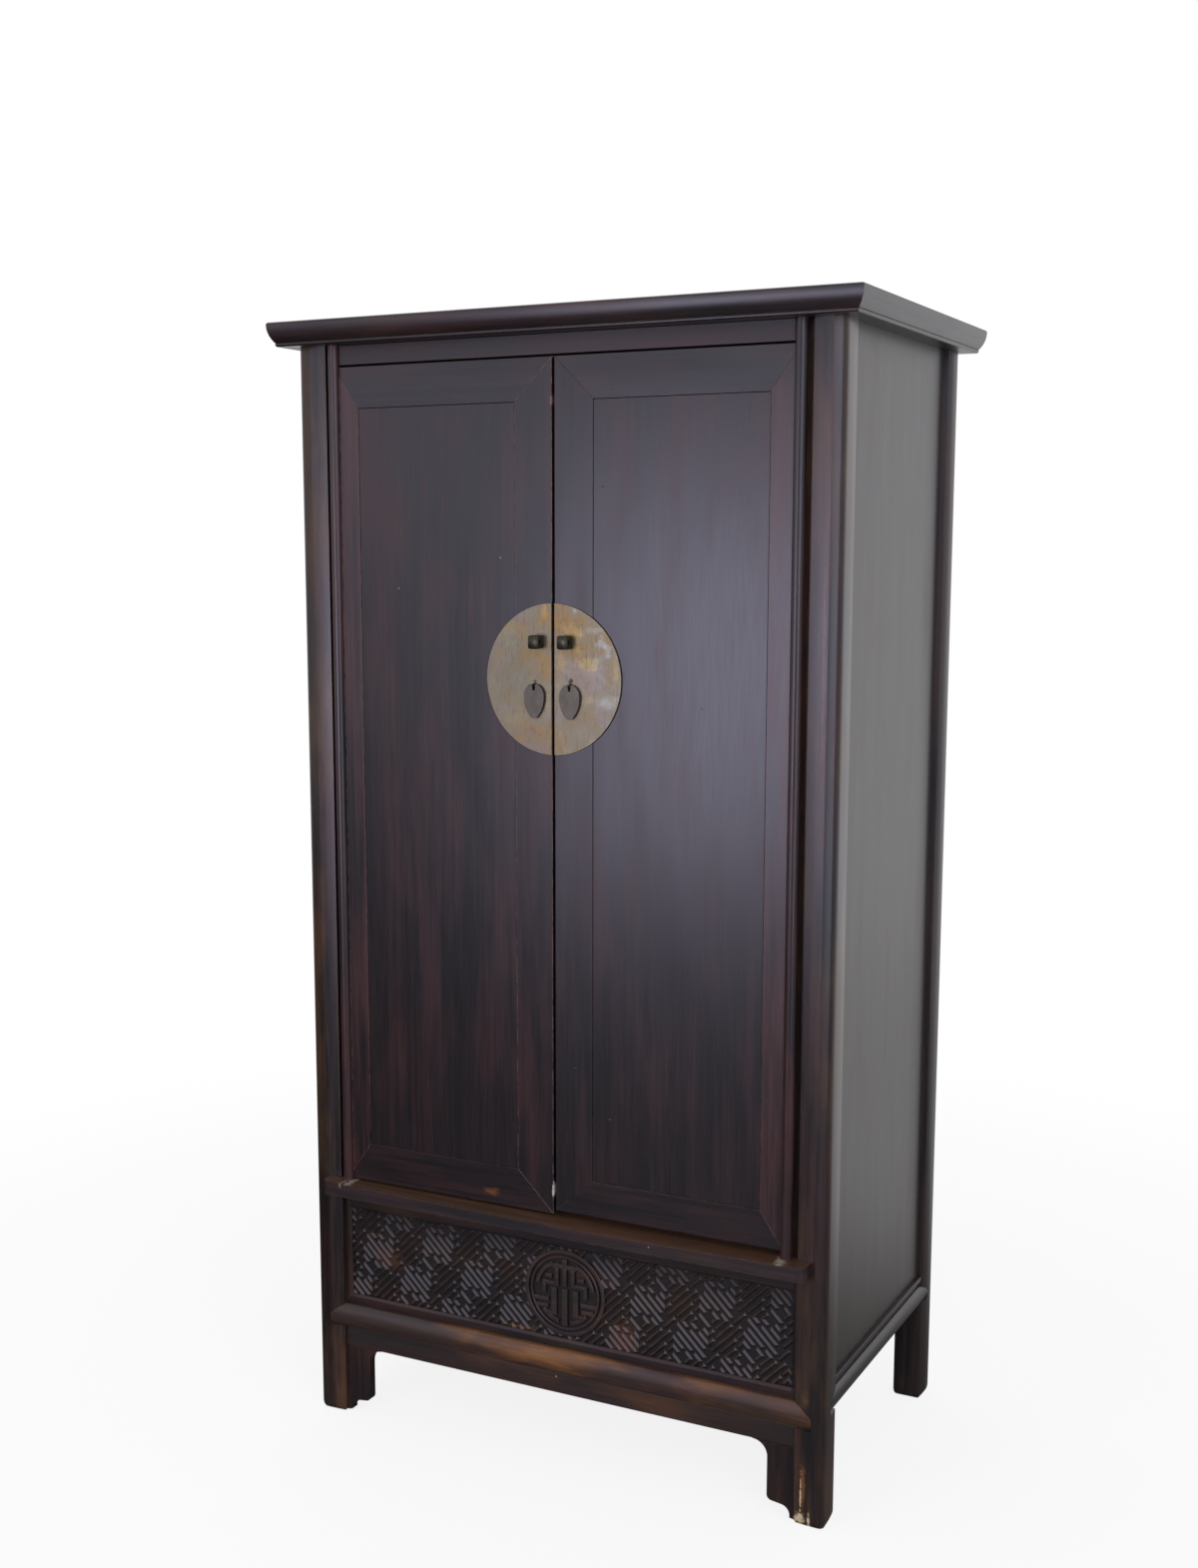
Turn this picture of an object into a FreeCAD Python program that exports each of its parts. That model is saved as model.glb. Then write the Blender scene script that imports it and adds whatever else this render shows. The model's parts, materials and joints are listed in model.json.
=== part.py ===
import FreeCAD, Part
import math
import os
import Sketcher

# A two-door Chinese book cabinet of dark lacquered timber, seen standing.
# X runs to the right, Y to the back, Z up. The origin is on the floor under the middle.
# Every size is in millimetres and written once, in the table below.

sizes = {
    # whole cabinet
    "total_height": 1850, "body_width": 930, "body_depth": 554,
    "slack": 0.3, "overrun": 2,
    # cap frame with its moulded edge
    "cap_width": 1000, "cap_depth": 632, "cap_thick": 38, "cap_member": 70,
    "cap_arris": 4, "cap_undercut": 10, "cap_belly_radius": 46, "cap_quirk": 1, "cap_bead": 6,
    "cap_bead_lean": 1.5, "cap_bead_radius": 4, "cap_panel_thick": 12, "cap_batten_width": 44,
    "cap_batten_thick": 18,
    # posts
    "post_side": 50, "post_crown": 2.5, "post_corner": 8, "foot_round": 7, "post_tenon": 20,
    "post_tenon_rise": 18, "lip_width": 15, "lip_thick": 15.5, "lip_setback": 10.5,
    # tenons that hold rails in the posts
    "tenon_length": 20, "tenon_thick": 12, "tenon_setback": 15, "tenon_shoulder": 4,
    # boards that slide in grooves
    "board_thick": 12, "board_setback": 12, "groove_depth": 8, "tongue_thick": 6,
    # rails between the front posts
    "lintel_height": 31, "lintel_depth": 40, "lintel_drop": 10, "ledge_top": 428,
    "ledge_thick": 24, "ledge_reach": 27, "ledge_depth": 67, "ledge_lap": 22, "ledge_round": 15,
    # bottom rails with their round faces and lapped shoulders
    "front_rail_top": 200, "front_rail_height": 42, "front_rail_depth": 42, "front_rail_sag": 8,
    "front_rail_proud": 2, "side_rail_top": 230, "side_rail_height": 50, "side_rail_round": 33,
    "side_rail_groove": 9, "side_groove_in": 9, "side_rail_sag": 6, "side_rail_depth": 40,
    "side_bead_drop": 4, "lap_reach": 26,
    # back rails
    "back_rail_height": 42, "back_rail_depth": 30, "back_middle_height": 24,
    # apron and its two spandrels
    "apron_height": 35, "apron_thick": 16, "apron_setback": 8, "spandrel_width": 47,
    "spandrel_throat": 25, "spandrel_foot": 36, "spandrel_knee": 9, "spandrel_lip": 14,
    "spandrel_ogee": 15, "spandrel_lift": 6,
    # carved frieze and the frame round it
    "frieze_setback": 12, "frieze_depth": 20, "frieze_side": 11, "frieze_foot": 16,
    "frieze_head": 33, "frieze_bevel": 4, "frieze_board": 10, "frieze_ground": 8,
    "fret_pitch": 12.4, "fret_width": 6.8, "fret_relief": 4, "fret_margin": 1.5,
    "roundel_radius": 73, "roundel_shift": 9,
    # doors
    "door_gap": 5, "door_bottom_gap": 4, "door_top_gap": 3, "door_thick": 26,
    "frame_width": 65, "pivot_flat": 45, "pivot_radius": 9.5, "pivot_inset": 68,
    "pin_radius": 5, "pin_foot": 10, "pin_head": 14, "pin_slack": 0.1, "panel_face": 8.5,
    "panel_seam": 0.6, "panel_sink": 0.6, "panel_tongue": 7, "door_tenon_thick": 6,
    "door_tenon_side": 30, "batten_height": 28, "batten_tenon": 12,
    # brass
    "plate_radius": 117, "plate_thick": 2.5, "plate_height": 1292, "boss_width": 18,
    "boss_tall": 21, "boss_round": 4, "boss_proud": 17.5, "boss_wall": 2, "boss_height": 1350,
    "boss_place": 25, "boss_bore": 4, "boss_shank": 5, "eye_wire": 1.4, "eye_shank": 2.2,
    "eye_height": 1282,
    "pull_place": 31, "pull_width": 35, "pull_drop": 49, "pull_shoulder": 15, "pull_thick": 2.6,
    "pull_pin": 1.2, "pull_top": 2.6, "pull_slot": 4.6, "pull_slot_drop": 7, "pull_ear": 12,
    "pull_tip": 5, "pull_shoulder_radius": 19, "pull_flank_radius": 46,
    # inside
    "floor_thick": 12, "floor_front": 27, "shelf_thick": 16, "shelf_front": 33,
    "lower_shelf_top": 890, "upper_shelf_top": 1335, "bearer_width": 18, "bearer_height": 24,
}

doc = FreeCAD.newDocument("book_cabinet")
sheet = doc.addObject("Spreadsheet::Sheet", "sizes")


class Dim:
    # A length that knows its value and the sheet expression that it comes from.
    def __init__(self, value, text):
        self.value = value
        self.text = text

    def __add__(self, other):
        return Dim(self.value + number(other), f"({self.text} + {words(other)})")

    def __radd__(self, other):
        return Dim(number(other) + self.value, f"({words(other)} + {self.text})")

    def __sub__(self, other):
        return Dim(self.value - number(other), f"({self.text} - {words(other)})")

    def __rsub__(self, other):
        return Dim(number(other) - self.value, f"({words(other)} - {self.text})")

    def __mul__(self, other):
        return Dim(self.value * number(other), f"({self.text} * {words(other)})")

    def __rmul__(self, other):
        return Dim(number(other) * self.value, f"({words(other)} * {self.text})")

    def __truediv__(self, other):
        return Dim(self.value / number(other), f"({self.text} / {words(other)})")

    def __neg__(self):
        return Dim(-self.value, f"(0 - {self.text})")


def number(size):
    return size.value if isinstance(size, Dim) else float(size)


def words(size):
    return size.text if isinstance(size, Dim) else repr(size)


class Table:
    # One attribute for each alias of the sheet.
    pass


size = Table()
for row, (alias, value) in enumerate(sizes.items(), start=1):
    sheet.set(f"A{row}", alias.replace("_", " "))
    sheet.set(f"B{row}", str(value))
    sheet.setAlias(f"B{row}", alias)
    setattr(size, alias, Dim(float(value), f"sizes.{alias}"))
doc.recompute()

axes = ("x", "y", "z")
plane_roles = {"xy": "XY_Plane", "xz": "XZ_Plane", "yz": "YZ_Plane"}
pad_axis = {"xy": "z", "xz": "y", "yz": "x"}


def bind(thing, name, length):
    # Ties one property of an object to the sheet.
    if isinstance(length, Dim):
        thing.setExpression(name, length.text)
    elif name.startswith("Placement"):
        thing.setExpression(name, repr(length))
    else:
        setattr(thing, name, length)


def place(thing, base):
    for axis, length in zip(axes, base):
        bind(thing, "Placement.Base." + axis, length)


def turn(thing, axis, degrees):
    thing.Placement.Rotation = FreeCAD.Rotation(FreeCAD.Vector(*axis), degrees)


def block(name, low, high):
    # A box between two corners.
    box = doc.addObject("Part::Box", name)
    for side, start, end in zip(("Length", "Width", "Height"), low, high):
        bind(box, side, end - start)
    place(box, low)
    return box


def rod(name, base, radius, length, along):
    # A cylinder that runs up from its base, or along X or towards the back.
    cylinder = doc.addObject("Part::Cylinder", name)
    if along == "x":
        turn(cylinder, (0, 1, 0), 90)
    if along == "y":
        turn(cylinder, (1, 0, 0), -90)
    bind(cylinder, "Radius", radius)
    bind(cylinder, "Height", length)
    place(cylinder, base)
    return cylinder


def joined(name, first, *others):
    fuse = doc.addObject("Part::MultiFuse", name)
    fuse.Shapes = [first, *others]
    return fuse


def without(name, base, tools):
    # The base with every tool cut out of it.
    tools = list(tools)
    cut = doc.addObject("Part::Cut", name)
    cut.Base = base
    cut.Tool = tools[0] if len(tools) == 1 else joined(name + "_cuts", *tools)
    return cut


def shared(name, first, second):
    common = doc.addObject("Part::MultiCommon", name)
    common.Shapes = [first, second]
    return common


def signed_area(points):
    total = 0
    for (x1, y1), (x2, y2) in zip(points, points[1:] + points[:1]):
        total += x1 * y2 - x2 * y1
    return total / 2


def arc_between(start, end, radius, turn_left):
    # The short arc of that radius, and whether it is stored from start to end.
    chord = end - start
    normal = FreeCAD.Vector(-chord.y, chord.x, 0).normalize()
    height = math.sqrt(max(radius ** 2 - (chord.Length / 2) ** 2, 0))
    centre = (start + end) / 2 + normal * (height if turn_left else -height)
    first, last = (start, end) if turn_left else (end, start)
    angles = [math.atan2(p.y - centre.y, p.x - centre.x) for p in (first, last)]
    circle = Part.Circle(centre, FreeCAD.Vector(0, 0, 1), radius)
    return Part.ArcOfCircle(circle, angles[0], angles[1])


def pin_corner(sketch, geometry, end, corner):
    # Holds one corner at its place from the sketch's origin.
    for kind, axis, length in (("DistanceX", -2, corner[0]), ("DistanceY", -1, corner[1])):
        if number(length) == 0:
            sketch.addConstraint(Sketcher.Constraint("PointOnObject", geometry, end, axis))
            continue
        held = sketch.addConstraint(Sketcher.Constraint(kind, -1, 1, geometry, end, number(length)))
        sketch.setExpression(f"Constraints[{held}]", words(length))


def outline(body, plane, corners):
    # A closed outline. A corner is (x, y), or (x, y, radius, "out" or "in") where an arc
    # that bulges out of or into the outline arrives at it.
    sketch = body.newObject("Sketcher::SketchObject", body.Name + "_outline")
    origin_planes = [part for part in body.Origin.OriginFeatures if part.Role == plane_roles[plane]]
    sketch.AttachmentSupport = [(origin_planes[0], "")]
    sketch.MapMode = "FlatFace"
    flat = [(number(corner[0]), number(corner[1])) for corner in corners]
    counter_clockwise = signed_area(flat) > 0
    ends = []
    for index, corner in enumerate(corners):
        start = FreeCAD.Vector(*flat[index - 1], 0)
        end = FreeCAD.Vector(*flat[index], 0)
        if len(corner) == 2:
            geometry = sketch.addGeometry(Part.LineSegment(start, end), False)
            ends.append((geometry, 1, 2))
            continue
        turn_left = (corner[3] == "out") == counter_clockwise
        arc = arc_between(start, end, number(corner[2]), turn_left)
        geometry = sketch.addGeometry(arc, False)
        ends.append((geometry, 1, 2) if turn_left else (geometry, 2, 1))
    for index, corner in enumerate(corners):
        geometry, _, arriving = ends[index]
        following, leaving, _ = ends[(index + 1) % len(corners)]
        sketch.addConstraint(Sketcher.Constraint("Coincident", geometry, arriving, following, leaving))
        pin_corner(sketch, geometry, arriving, corner)
    for index, corner in enumerate(corners):
        if len(corner) > 2:
            held = sketch.addConstraint(Sketcher.Constraint("Radius", ends[index][0], number(corner[2])))
            sketch.setExpression(f"Constraints[{held}]", words(corner[2]))
    return sketch


def prism(name, plane, corners, start, length):
    # An outline in one plane, padded along the third axis from start.
    body = doc.addObject("PartDesign::Body", name)
    sketch = outline(body, plane, corners)
    pad = body.newObject("PartDesign::Pad", name + "_pad")
    pad.Profile = sketch
    pad.Reversed = plane == "xz"
    bind(pad, "Length", length)
    body.Tip = pad
    base = [start if axis == pad_axis[plane] else 0 for axis in axes]
    place(body, base)
    return body


def oblong(x1, y1, x2, y2):
    return [(x1, y1), (x2, y1), (x2, y2), (x1, y2)]


finished = []


def finish(thing, label):
    # Names a finished piece.
    thing.Label = label
    finished.append(thing)


sides = {"left": -1, "right": 1}
half_width = size.body_width / 2
half_depth = size.body_depth / 2
front = -half_depth
cap_bottom = size.total_height - size.cap_thick
post_inner = half_width - size.post_side
post_back = front + size.post_side
ledge_bottom = size.ledge_top - size.ledge_thick
lintel_bottom = cap_bottom - size.lintel_height
pivot_place = half_width - size.pivot_inset
door_bottom = size.ledge_top + size.door_bottom_gap
door_top = lintel_bottom - size.door_top_gap
door_back = front + size.door_thick
board_outer = half_width - size.board_setback
board_inner = board_outer - size.board_thick
pull_axis = front - size.plate_thick - size.pull_pin - size.pin_slack - 2 * size.eye_wire
mortises = {name: [] for name in ("front_left", "front_right", "back_left", "back_right")}
cap_cuts = []


def span(side, inner, outer):
    # The low and high X of a length that lies between two distances from the middle.
    return (inner, outer) if side > 0 else (-outer, -inner)


def end_tenons(name, row, low, high):
    # The pair of tenons at a rail's ends, also cut out of the posts as mortises.
    pair = []
    for word, side in sides.items():
        near, far = span(side, post_inner, post_inner + size.tenon_length)
        inset = size.tenon_setback
        start = front + inset if row == "front" else half_depth - inset - size.tenon_thick
        tenon = block(f"{name}_{word}_tenon", (near, start, low + size.tenon_shoulder),
                      (far, start + size.tenon_thick, high - size.tenon_shoulder))
        mortises[f"{row}_{word}"].append(tenon)
        pair.append(tenon)
    return pair


def post_section(side, face):
    # Two crowned outer faces that meet in a rounded corner, square on the inner sides.
    x = [half_width, half_width - size.post_corner, half_width - size.post_crown, post_inner]
    y = [half_depth, half_depth - size.post_corner, half_depth - size.post_crown,
         half_depth - size.post_side]
    run = size.post_side - size.post_corner
    crown_radius = (run * run + size.post_crown * size.post_crown) / (2 * size.post_crown)
    corners = [(x[3], y[3]), (x[2], y[3]), (x[0], y[1], crown_radius, "out"),
               (x[1], y[0], size.post_corner, "out"), (x[3], y[2], crown_radius, "out")]
    return [(corner[0] * side, corner[1] * face, *corner[2:]) for corner in corners]


def build_posts():
    groove_low = size.side_rail_top - size.groove_depth
    for name, cuts in mortises.items():
        row, word = name.split("_")
        side = sides[word]
        face = -1 if row == "front" else 1
        stock = prism(name + "_stock", "xy", post_section(side, face), 0, cap_bottom)
        middle_x = side * (half_width - size.post_side / 2)
        middle_y = face * (half_depth - size.post_side / 2)
        half = size.post_tenon / 2
        tenon = block(name + "_top_tenon", (middle_x - half, middle_y - half, cap_bottom),
                      (middle_x + half, middle_y + half, cap_bottom + size.post_tenon_rise))
        cap_cuts.append(tenon)
        parts = [stock, tenon]
        if row == "front":
            near, far = span(side, post_inner - size.lip_width, post_inner)
            lip_front = front + size.lip_setback
            parts.append(block(name + "_lip", (near, lip_front, size.ledge_top),
                               (far, lip_front + size.lip_thick, lintel_bottom)))
        near, far = span(side, board_inner, board_outer)
        inner_face = face * (half_depth - size.post_side)
        groove = sorted((inner_face, inner_face + face * size.groove_depth), key=number)
        cuts.append(block(name + "_side_groove", (near, groove[0], groove_low),
                          (far, groove[1], cap_bottom)))
        if row == "back":
            near, far = span(side, post_inner, post_inner + size.groove_depth)
            back_face = half_depth - size.board_setback
            cuts.append(block(name + "_back_groove",
                              (near, back_face - size.board_thick, size.front_rail_top),
                              (far, back_face, cap_bottom)))
        whole = joined(name + "_whole", *parts)
        finish(without(name + "_cut", whole, cuts), name + "_post")


def cap_profile(edge, inward):
    # The cap's edge, from the outer edge inward: a rounded arris, a belly that falls away under
    # it, a small quirk and a bead along the foot.
    top = size.total_height
    inner = edge + inward * size.cap_member
    belly_end = edge + inward * size.cap_undercut
    bead_start = belly_end + inward * size.cap_quirk
    bead_top = cap_bottom + size.cap_bead
    return [
        (bead_start + inward * size.cap_bead_lean, cap_bottom, size.cap_bead_radius, "out"),
        (inner, cap_bottom),
        (inner, top),
        (edge + inward * size.cap_arris, top),
        (edge, top - size.cap_arris, size.cap_arris, "out"),
        (belly_end, bead_top, size.cap_belly_radius, "out"),
        (bead_start, bead_top),
    ]


def build_cap():
    half_x = size.cap_width / 2
    half_y = size.cap_depth / 2
    inner_x = half_x - size.cap_member
    inner_y = half_y - size.cap_member
    top = size.total_height
    panel_low = top - size.cap_panel_thick
    reach = size.groove_depth
    plate = block("cap_plate", (-inner_x, -inner_y, panel_low), (inner_x, inner_y, top))
    tongue = block("cap_tongue", (-inner_x - reach, -inner_y - reach, panel_low),
                   (inner_x + reach, inner_y + reach, panel_low + size.tongue_thick))
    panel = joined("cap_board", plate, tongue)
    half_batten = size.cap_batten_width / 2
    batten = block("cap_batten_bar", (-half_batten, -inner_y - reach, panel_low - size.cap_batten_thick),
                   (half_batten, inner_y + reach, panel_low))
    end_grooves = []
    for word, side in sides.items():
        near, far = span(side, board_inner, board_outer)
        end_grooves.append(block(f"cap_{word}_groove", (near, post_back - reach, cap_bottom),
                                 (far, -post_back + reach, cap_bottom + reach)))
    pin_holes = []
    for word, side in sides.items():
        pin_holes.append(rod(f"cap_{word}_socket", (side * pivot_place, front, cap_bottom),
                             size.pin_radius + size.pin_slack, size.pin_head + size.overrun, "z"))
    for word, face in (("front", -1), ("back", 1)):
        bar = prism(f"cap_{word}_bar", "yz", cap_profile(face * half_y, -face), -half_x, size.cap_width)
        plan = [(-half_x, face * half_y), (half_x, face * half_y), (inner_x, face * inner_y),
                (-inner_x, face * inner_y)]
        mitre = prism(f"cap_{word}_mitre", "xy", plan, cap_bottom, size.cap_thick)
        cuts = [tongue, batten, *cap_cuts, *end_grooves]
        if word == "front":
            cuts += pin_holes
        rail = shared(f"cap_{word}_mitred", bar, mitre)
        finish(without(f"cap_{word}_cut", rail, cuts), f"cap_{word}_rail")
    for word, side in sides.items():
        bar = prism(f"cap_{word}_bar", "xz", cap_profile(side * half_x, -side), -half_y, size.cap_depth)
        plan = [(side * half_x, -half_y), (side * half_x, half_y), (side * inner_x, inner_y),
                (side * inner_x, -inner_y)]
        mitre = prism(f"cap_{word}_mitre", "xy", plan, cap_bottom, size.cap_thick)
        rail = shared(f"cap_{word}_mitred", bar, mitre)
        cuts = [tongue, *cap_cuts, *end_grooves]
        finish(without(f"cap_{word}_cut", rail, cuts), f"cap_{word}_end")
    finish(panel, "cap_panel")
    finish(batten, "cap_batten")


def build_lintel():
    # The rail over the doors, hollowed at its ends for the turning pivot stiles. Its back
    # edge drops behind the doors as their stop.
    back = front + size.lintel_depth
    bar = block("lintel_bar", (-post_inner, front, lintel_bottom), (post_inner, back, cap_bottom))
    stop = block("lintel_stop", (-pivot_place, door_back + size.slack, lintel_bottom - size.lintel_drop),
                 (pivot_place, back, lintel_bottom))
    hollows = []
    for word, side in sides.items():
        near, far = span(side, pivot_place - size.pivot_radius - size.slack, post_inner)
        hollows.append(block(f"lintel_{word}_hollow", (near, front - size.overrun, lintel_bottom),
                             (far, front + size.lip_setback, cap_bottom)))
    whole = joined("lintel_whole", bar, stop, *end_tenons("lintel", "front", lintel_bottom, cap_bottom))
    finish(without("lintel_cut", whole, hollows), "lintel")


def build_ledge():
    # The worn threshold under the doors. Its rounded ends lap over half of each post.
    lap = post_inner + size.ledge_lap
    nose = front - size.ledge_reach
    back = nose + size.ledge_depth
    rounding = size.ledge_round
    plan = [(-post_inner, back), (-post_inner, front), (-lap, front), (-lap, nose + rounding),
            (-lap + rounding, nose, rounding, "out"), (lap - rounding, nose),
            (lap, nose + rounding, rounding, "out"), (lap, front), (post_inner, front),
            (post_inner, back)]
    board = prism("ledge_board", "xy", plan, ledge_bottom, size.ledge_thick)
    sockets = []
    for word, side in sides.items():
        sockets.append(rod(f"ledge_{word}_socket",
                           (side * pivot_place, front, size.ledge_top - size.pin_foot - size.overrun),
                           size.pin_radius + size.pin_slack, size.pin_foot + size.overrun, "z"))
    whole = joined("ledge_whole", board, *end_tenons("ledge", "front", ledge_bottom, size.ledge_top))
    finish(without("ledge_cut", whole, sockets), "ledge_rail")


def build_front_rail():
    # The round-faced rail over the apron, with shoulders that lap over the posts.
    top = size.front_rail_top
    low = top - size.front_rail_height
    proud = front - size.front_rail_proud
    flat = proud + size.front_rail_sag
    back = front + size.front_rail_depth
    half = size.front_rail_height / 2
    radius = (half * half + size.front_rail_sag * size.front_rail_sag) / (2 * size.front_rail_sag)
    section = [(back, low), (back, top), (flat, top), (flat, low, radius, "out")]
    reach = post_inner + size.lap_reach
    bar = prism("front_rail_bar", "yz", section, -post_inner, 2 * post_inner)
    skin = prism("front_rail_skin", "yz", section, -reach, 2 * reach)
    slope = low + half
    face = [(-post_inner, top), (-reach, slope), (-reach, low), (reach, low), (reach, slope),
            (post_inner, top)]
    window = prism("front_rail_window", "xz", face, proud - size.overrun,
                   size.front_rail_sag + size.overrun)
    shoulders = shared("front_rail_shoulders", skin, window)
    for word, side in sides.items():
        tip = side * reach
        edge = side * post_inner
        notch = [(edge, low), (tip, low), (tip, slope), (edge, top)]
        mortises[f"front_{word}"].append(
            prism(f"front_rail_{word}_notch", "xz", notch, proud - size.overrun,
                  size.front_rail_sag + size.overrun))
    tenons = end_tenons("front_rail", "front", low, top)
    finish(joined("front_rail_whole", bar, shoulders, *tenons), "front_bottom_rail")


def build_side_rail(word, side):
    # A side's bottom rail: a small bead, a groove and a big round, lapped over the posts.
    top = size.side_rail_top
    low = top - size.side_rail_height
    round_top = low + size.side_rail_round
    outer = side * half_width
    flat = side * (half_width - size.side_rail_sag)
    deep = side * (half_width - size.side_groove_in)
    bead = side * (half_width - size.side_bead_drop)
    inner = side * (half_width - size.side_rail_depth)
    half = size.side_rail_round / 2
    radius = (half * half + size.side_rail_sag * size.side_rail_sag) / (2 * size.side_rail_sag)
    section = [(inner, low), (flat, low), (flat, round_top, radius, "out"), (deep, round_top),
               (deep, round_top + size.side_rail_groove), (bead, round_top + size.side_rail_groove),
               (bead, top), (inner, top)]
    bar = prism(f"{word}_rail_bar", "xz", section, post_back, -2 * post_back)
    reach = -post_back + size.lap_reach
    skin = prism(f"{word}_rail_skin", "xz", section, -reach, 2 * reach)
    slope = low + half
    face = [(post_back, round_top), (-reach, slope), (-reach, low), (reach, low), (reach, slope),
            (-post_back, round_top)]
    start = outer - size.side_rail_sag if side > 0 else outer - size.overrun
    window = prism(f"{word}_rail_window", "yz", face, start, size.side_rail_sag + size.overrun)
    parts = [bar, shared(f"{word}_rail_shoulders", skin, window)]
    for row, face_side in (("front", -1), ("back", 1)):
        edge = -face_side * post_back
        tip = face_side * reach
        notch = [(edge, low), (tip, low), (tip, slope), (edge, round_top)]
        mortises[f"{row}_{word}"].append(
            prism(f"{row}_{word}_rail_notch", "yz", notch, start, size.side_rail_sag + size.overrun))
        ends = sorted((edge, edge + face_side * size.tenon_length), key=number)
        near, far = span(side, half_width - size.tenon_setback - size.tenon_thick,
                         half_width - size.tenon_setback)
        tenon = block(f"{row}_{word}_rail_tenon", (near, ends[0], low + size.tenon_shoulder),
                      (far, ends[1], round_top))
        mortises[f"{row}_{word}"].append(tenon)
        parts.append(tenon)
    near, far = span(side, board_inner, board_outer)
    groove = block(f"{word}_rail_groove", (near, post_back, top - size.groove_depth),
                   (far, -post_back, top))
    whole = joined(f"{word}_rail_whole", *parts)
    finish(without(f"{word}_rail_cut", whole, [groove]), f"{word}_bottom_rail")


def build_side_panel(word, side):
    # A plain board held in grooves of the posts, the bottom rail and the cap.
    near, far = span(side, board_inner, board_outer)
    reach = -post_back + size.groove_depth
    panel = block(f"{word}_side_board", (near, -reach, size.side_rail_top - size.groove_depth),
                  (far, reach, cap_bottom + size.groove_depth))
    finish(panel, f"{word}_side_panel")


def build_back():
    # Three rails and two boards close the back.
    board_face = half_depth - size.board_setback
    board_low = board_face - size.board_thick
    reach = post_inner + size.groove_depth
    rail_back = half_depth - size.post_crown
    rail_front = rail_back - size.back_rail_depth
    levels = {
        "back_bottom_rail": (size.front_rail_top - size.back_rail_height, size.front_rail_top),
        "back_middle_rail": (size.ledge_top - size.back_middle_height, size.ledge_top),
        "back_top_rail": (cap_bottom - size.back_rail_height, cap_bottom),
    }
    lower = block("back_lower_board",
                  (-reach, board_low, size.front_rail_top - size.groove_depth),
                  (reach, board_face, levels["back_middle_rail"][0] + size.groove_depth))
    upper = block("back_upper_board",
                  (-reach, board_low, size.ledge_top - size.groove_depth),
                  (reach, board_face, levels["back_top_rail"][0] + size.groove_depth))
    for name, (low, high) in levels.items():
        bar = block(name + "_bar", (-post_inner, rail_front, low), (post_inner, rail_back, high))
        whole = joined(name + "_whole", bar, *end_tenons(name, "back", low, high))
        finish(without(name + "_cut", whole, [lower, upper]), name)
    for word in ("left", "right"):
        mortises[f"back_{word}"] += [lower, upper]
    finish(lower, "back_lower_panel")
    finish(upper, "back_upper_panel")


def build_apron():
    # The plain apron under the front rail and the two spandrels that run down to the feet.
    low = size.front_rail_top - size.front_rail_height
    bottom = low - size.apron_height
    face = front + size.apron_setback
    apron = block("apron_board", (-post_inner, face, bottom),
                  (post_inner, face + size.apron_thick, low))
    finish(apron, "front_apron")
    inner = post_inner - size.spandrel_width
    throat = size.spandrel_throat
    knee = size.spandrel_knee
    foot = size.spandrel_foot
    lip = inner + knee + size.spandrel_lip
    for word, side in sides.items():
        corners = [(post_inner, bottom), (inner - throat, bottom),
                   (inner, bottom - throat, throat, "in"), (inner, foot),
                   (inner + knee, foot - knee, knee, "out"), (lip, foot - knee - size.overrun),
                   (lip + size.spandrel_ogee, size.spandrel_lift, size.foot_round + knee, "in"),
                   (post_inner, size.spandrel_lift - size.overrun)]
        mirrored = [(side * corner[0], *corner[1:]) for corner in corners]
        spandrel = prism(f"{word}_spandrel_board", "xz", mirrored, face, size.apron_thick)
        finish(spandrel, f"{word}_spandrel")


def build_frieze_frame():
    # Four mitred strips with a bevelled inner edge, round the carved board.
    face = front + size.frieze_setback
    low = size.front_rail_top
    field = field_window()
    outer = oblong(-post_inner, low, post_inner, ledge_bottom)
    inner = oblong(field[0], field[1], field[2], field[3])
    bevel = size.frieze_bevel
    ring = prism("frieze_block", "xz", outer, face, size.frieze_depth)
    hole = prism("frieze_hole", "xz", inner, face - size.overrun, size.frieze_depth + 2 * size.overrun)
    tongue = size.tongue_thick
    seat = block("frieze_seat",
                 (field[0] - tongue, face + size.frieze_ground, field[1] - tongue),
                 (field[2] + tongue, face + size.frieze_ground + size.frieze_board, field[3] + tongue))
    opened = without("frieze_opened", ring, [hole, seat])
    wedges = []
    for index, (start, end) in enumerate(zip(inner, inner[1:] + inner[:1])):
        # a bevel cutter along each inner edge
        horizontal = index % 2 == 0
        outward = -1 if index in (0, 3) else 1
        across = start[1] if horizontal else start[0]
        edge = [(face, across), (face, across + outward * bevel), (face + bevel, across)]
        if horizontal:
            wedges.append(prism(f"frieze_wedge_{index}", "yz", edge, field[0] - bevel,
                                field[2] - field[0] + 2 * bevel))
        else:
            flipped = [(corner[1], corner[0]) for corner in edge]
            wedges.append(prism(f"frieze_wedge_{index}", "xy", flipped, field[1] - bevel,
                                field[3] - field[1] + 2 * bevel))
    bevelled = without("frieze_bevelled", opened, wedges)
    names = ("frieze_bottom_strip", "frieze_right_strip", "frieze_top_strip", "frieze_left_strip")
    for index, name in enumerate(names):
        following = (index + 1) % 4
        corners = [outer[index], outer[following], inner[following], inner[index]]
        mitre = prism(name + "_mitre", "xz", corners, face, size.frieze_depth)
        finish(shared(name + "_cut", bevelled, mitre), name)


def field_window():
    # Left, bottom, right and top of the carved field.
    return (-post_inner + size.frieze_side, size.front_rail_top + size.frieze_foot,
            post_inner - size.frieze_side, ledge_bottom - size.frieze_head)


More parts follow.
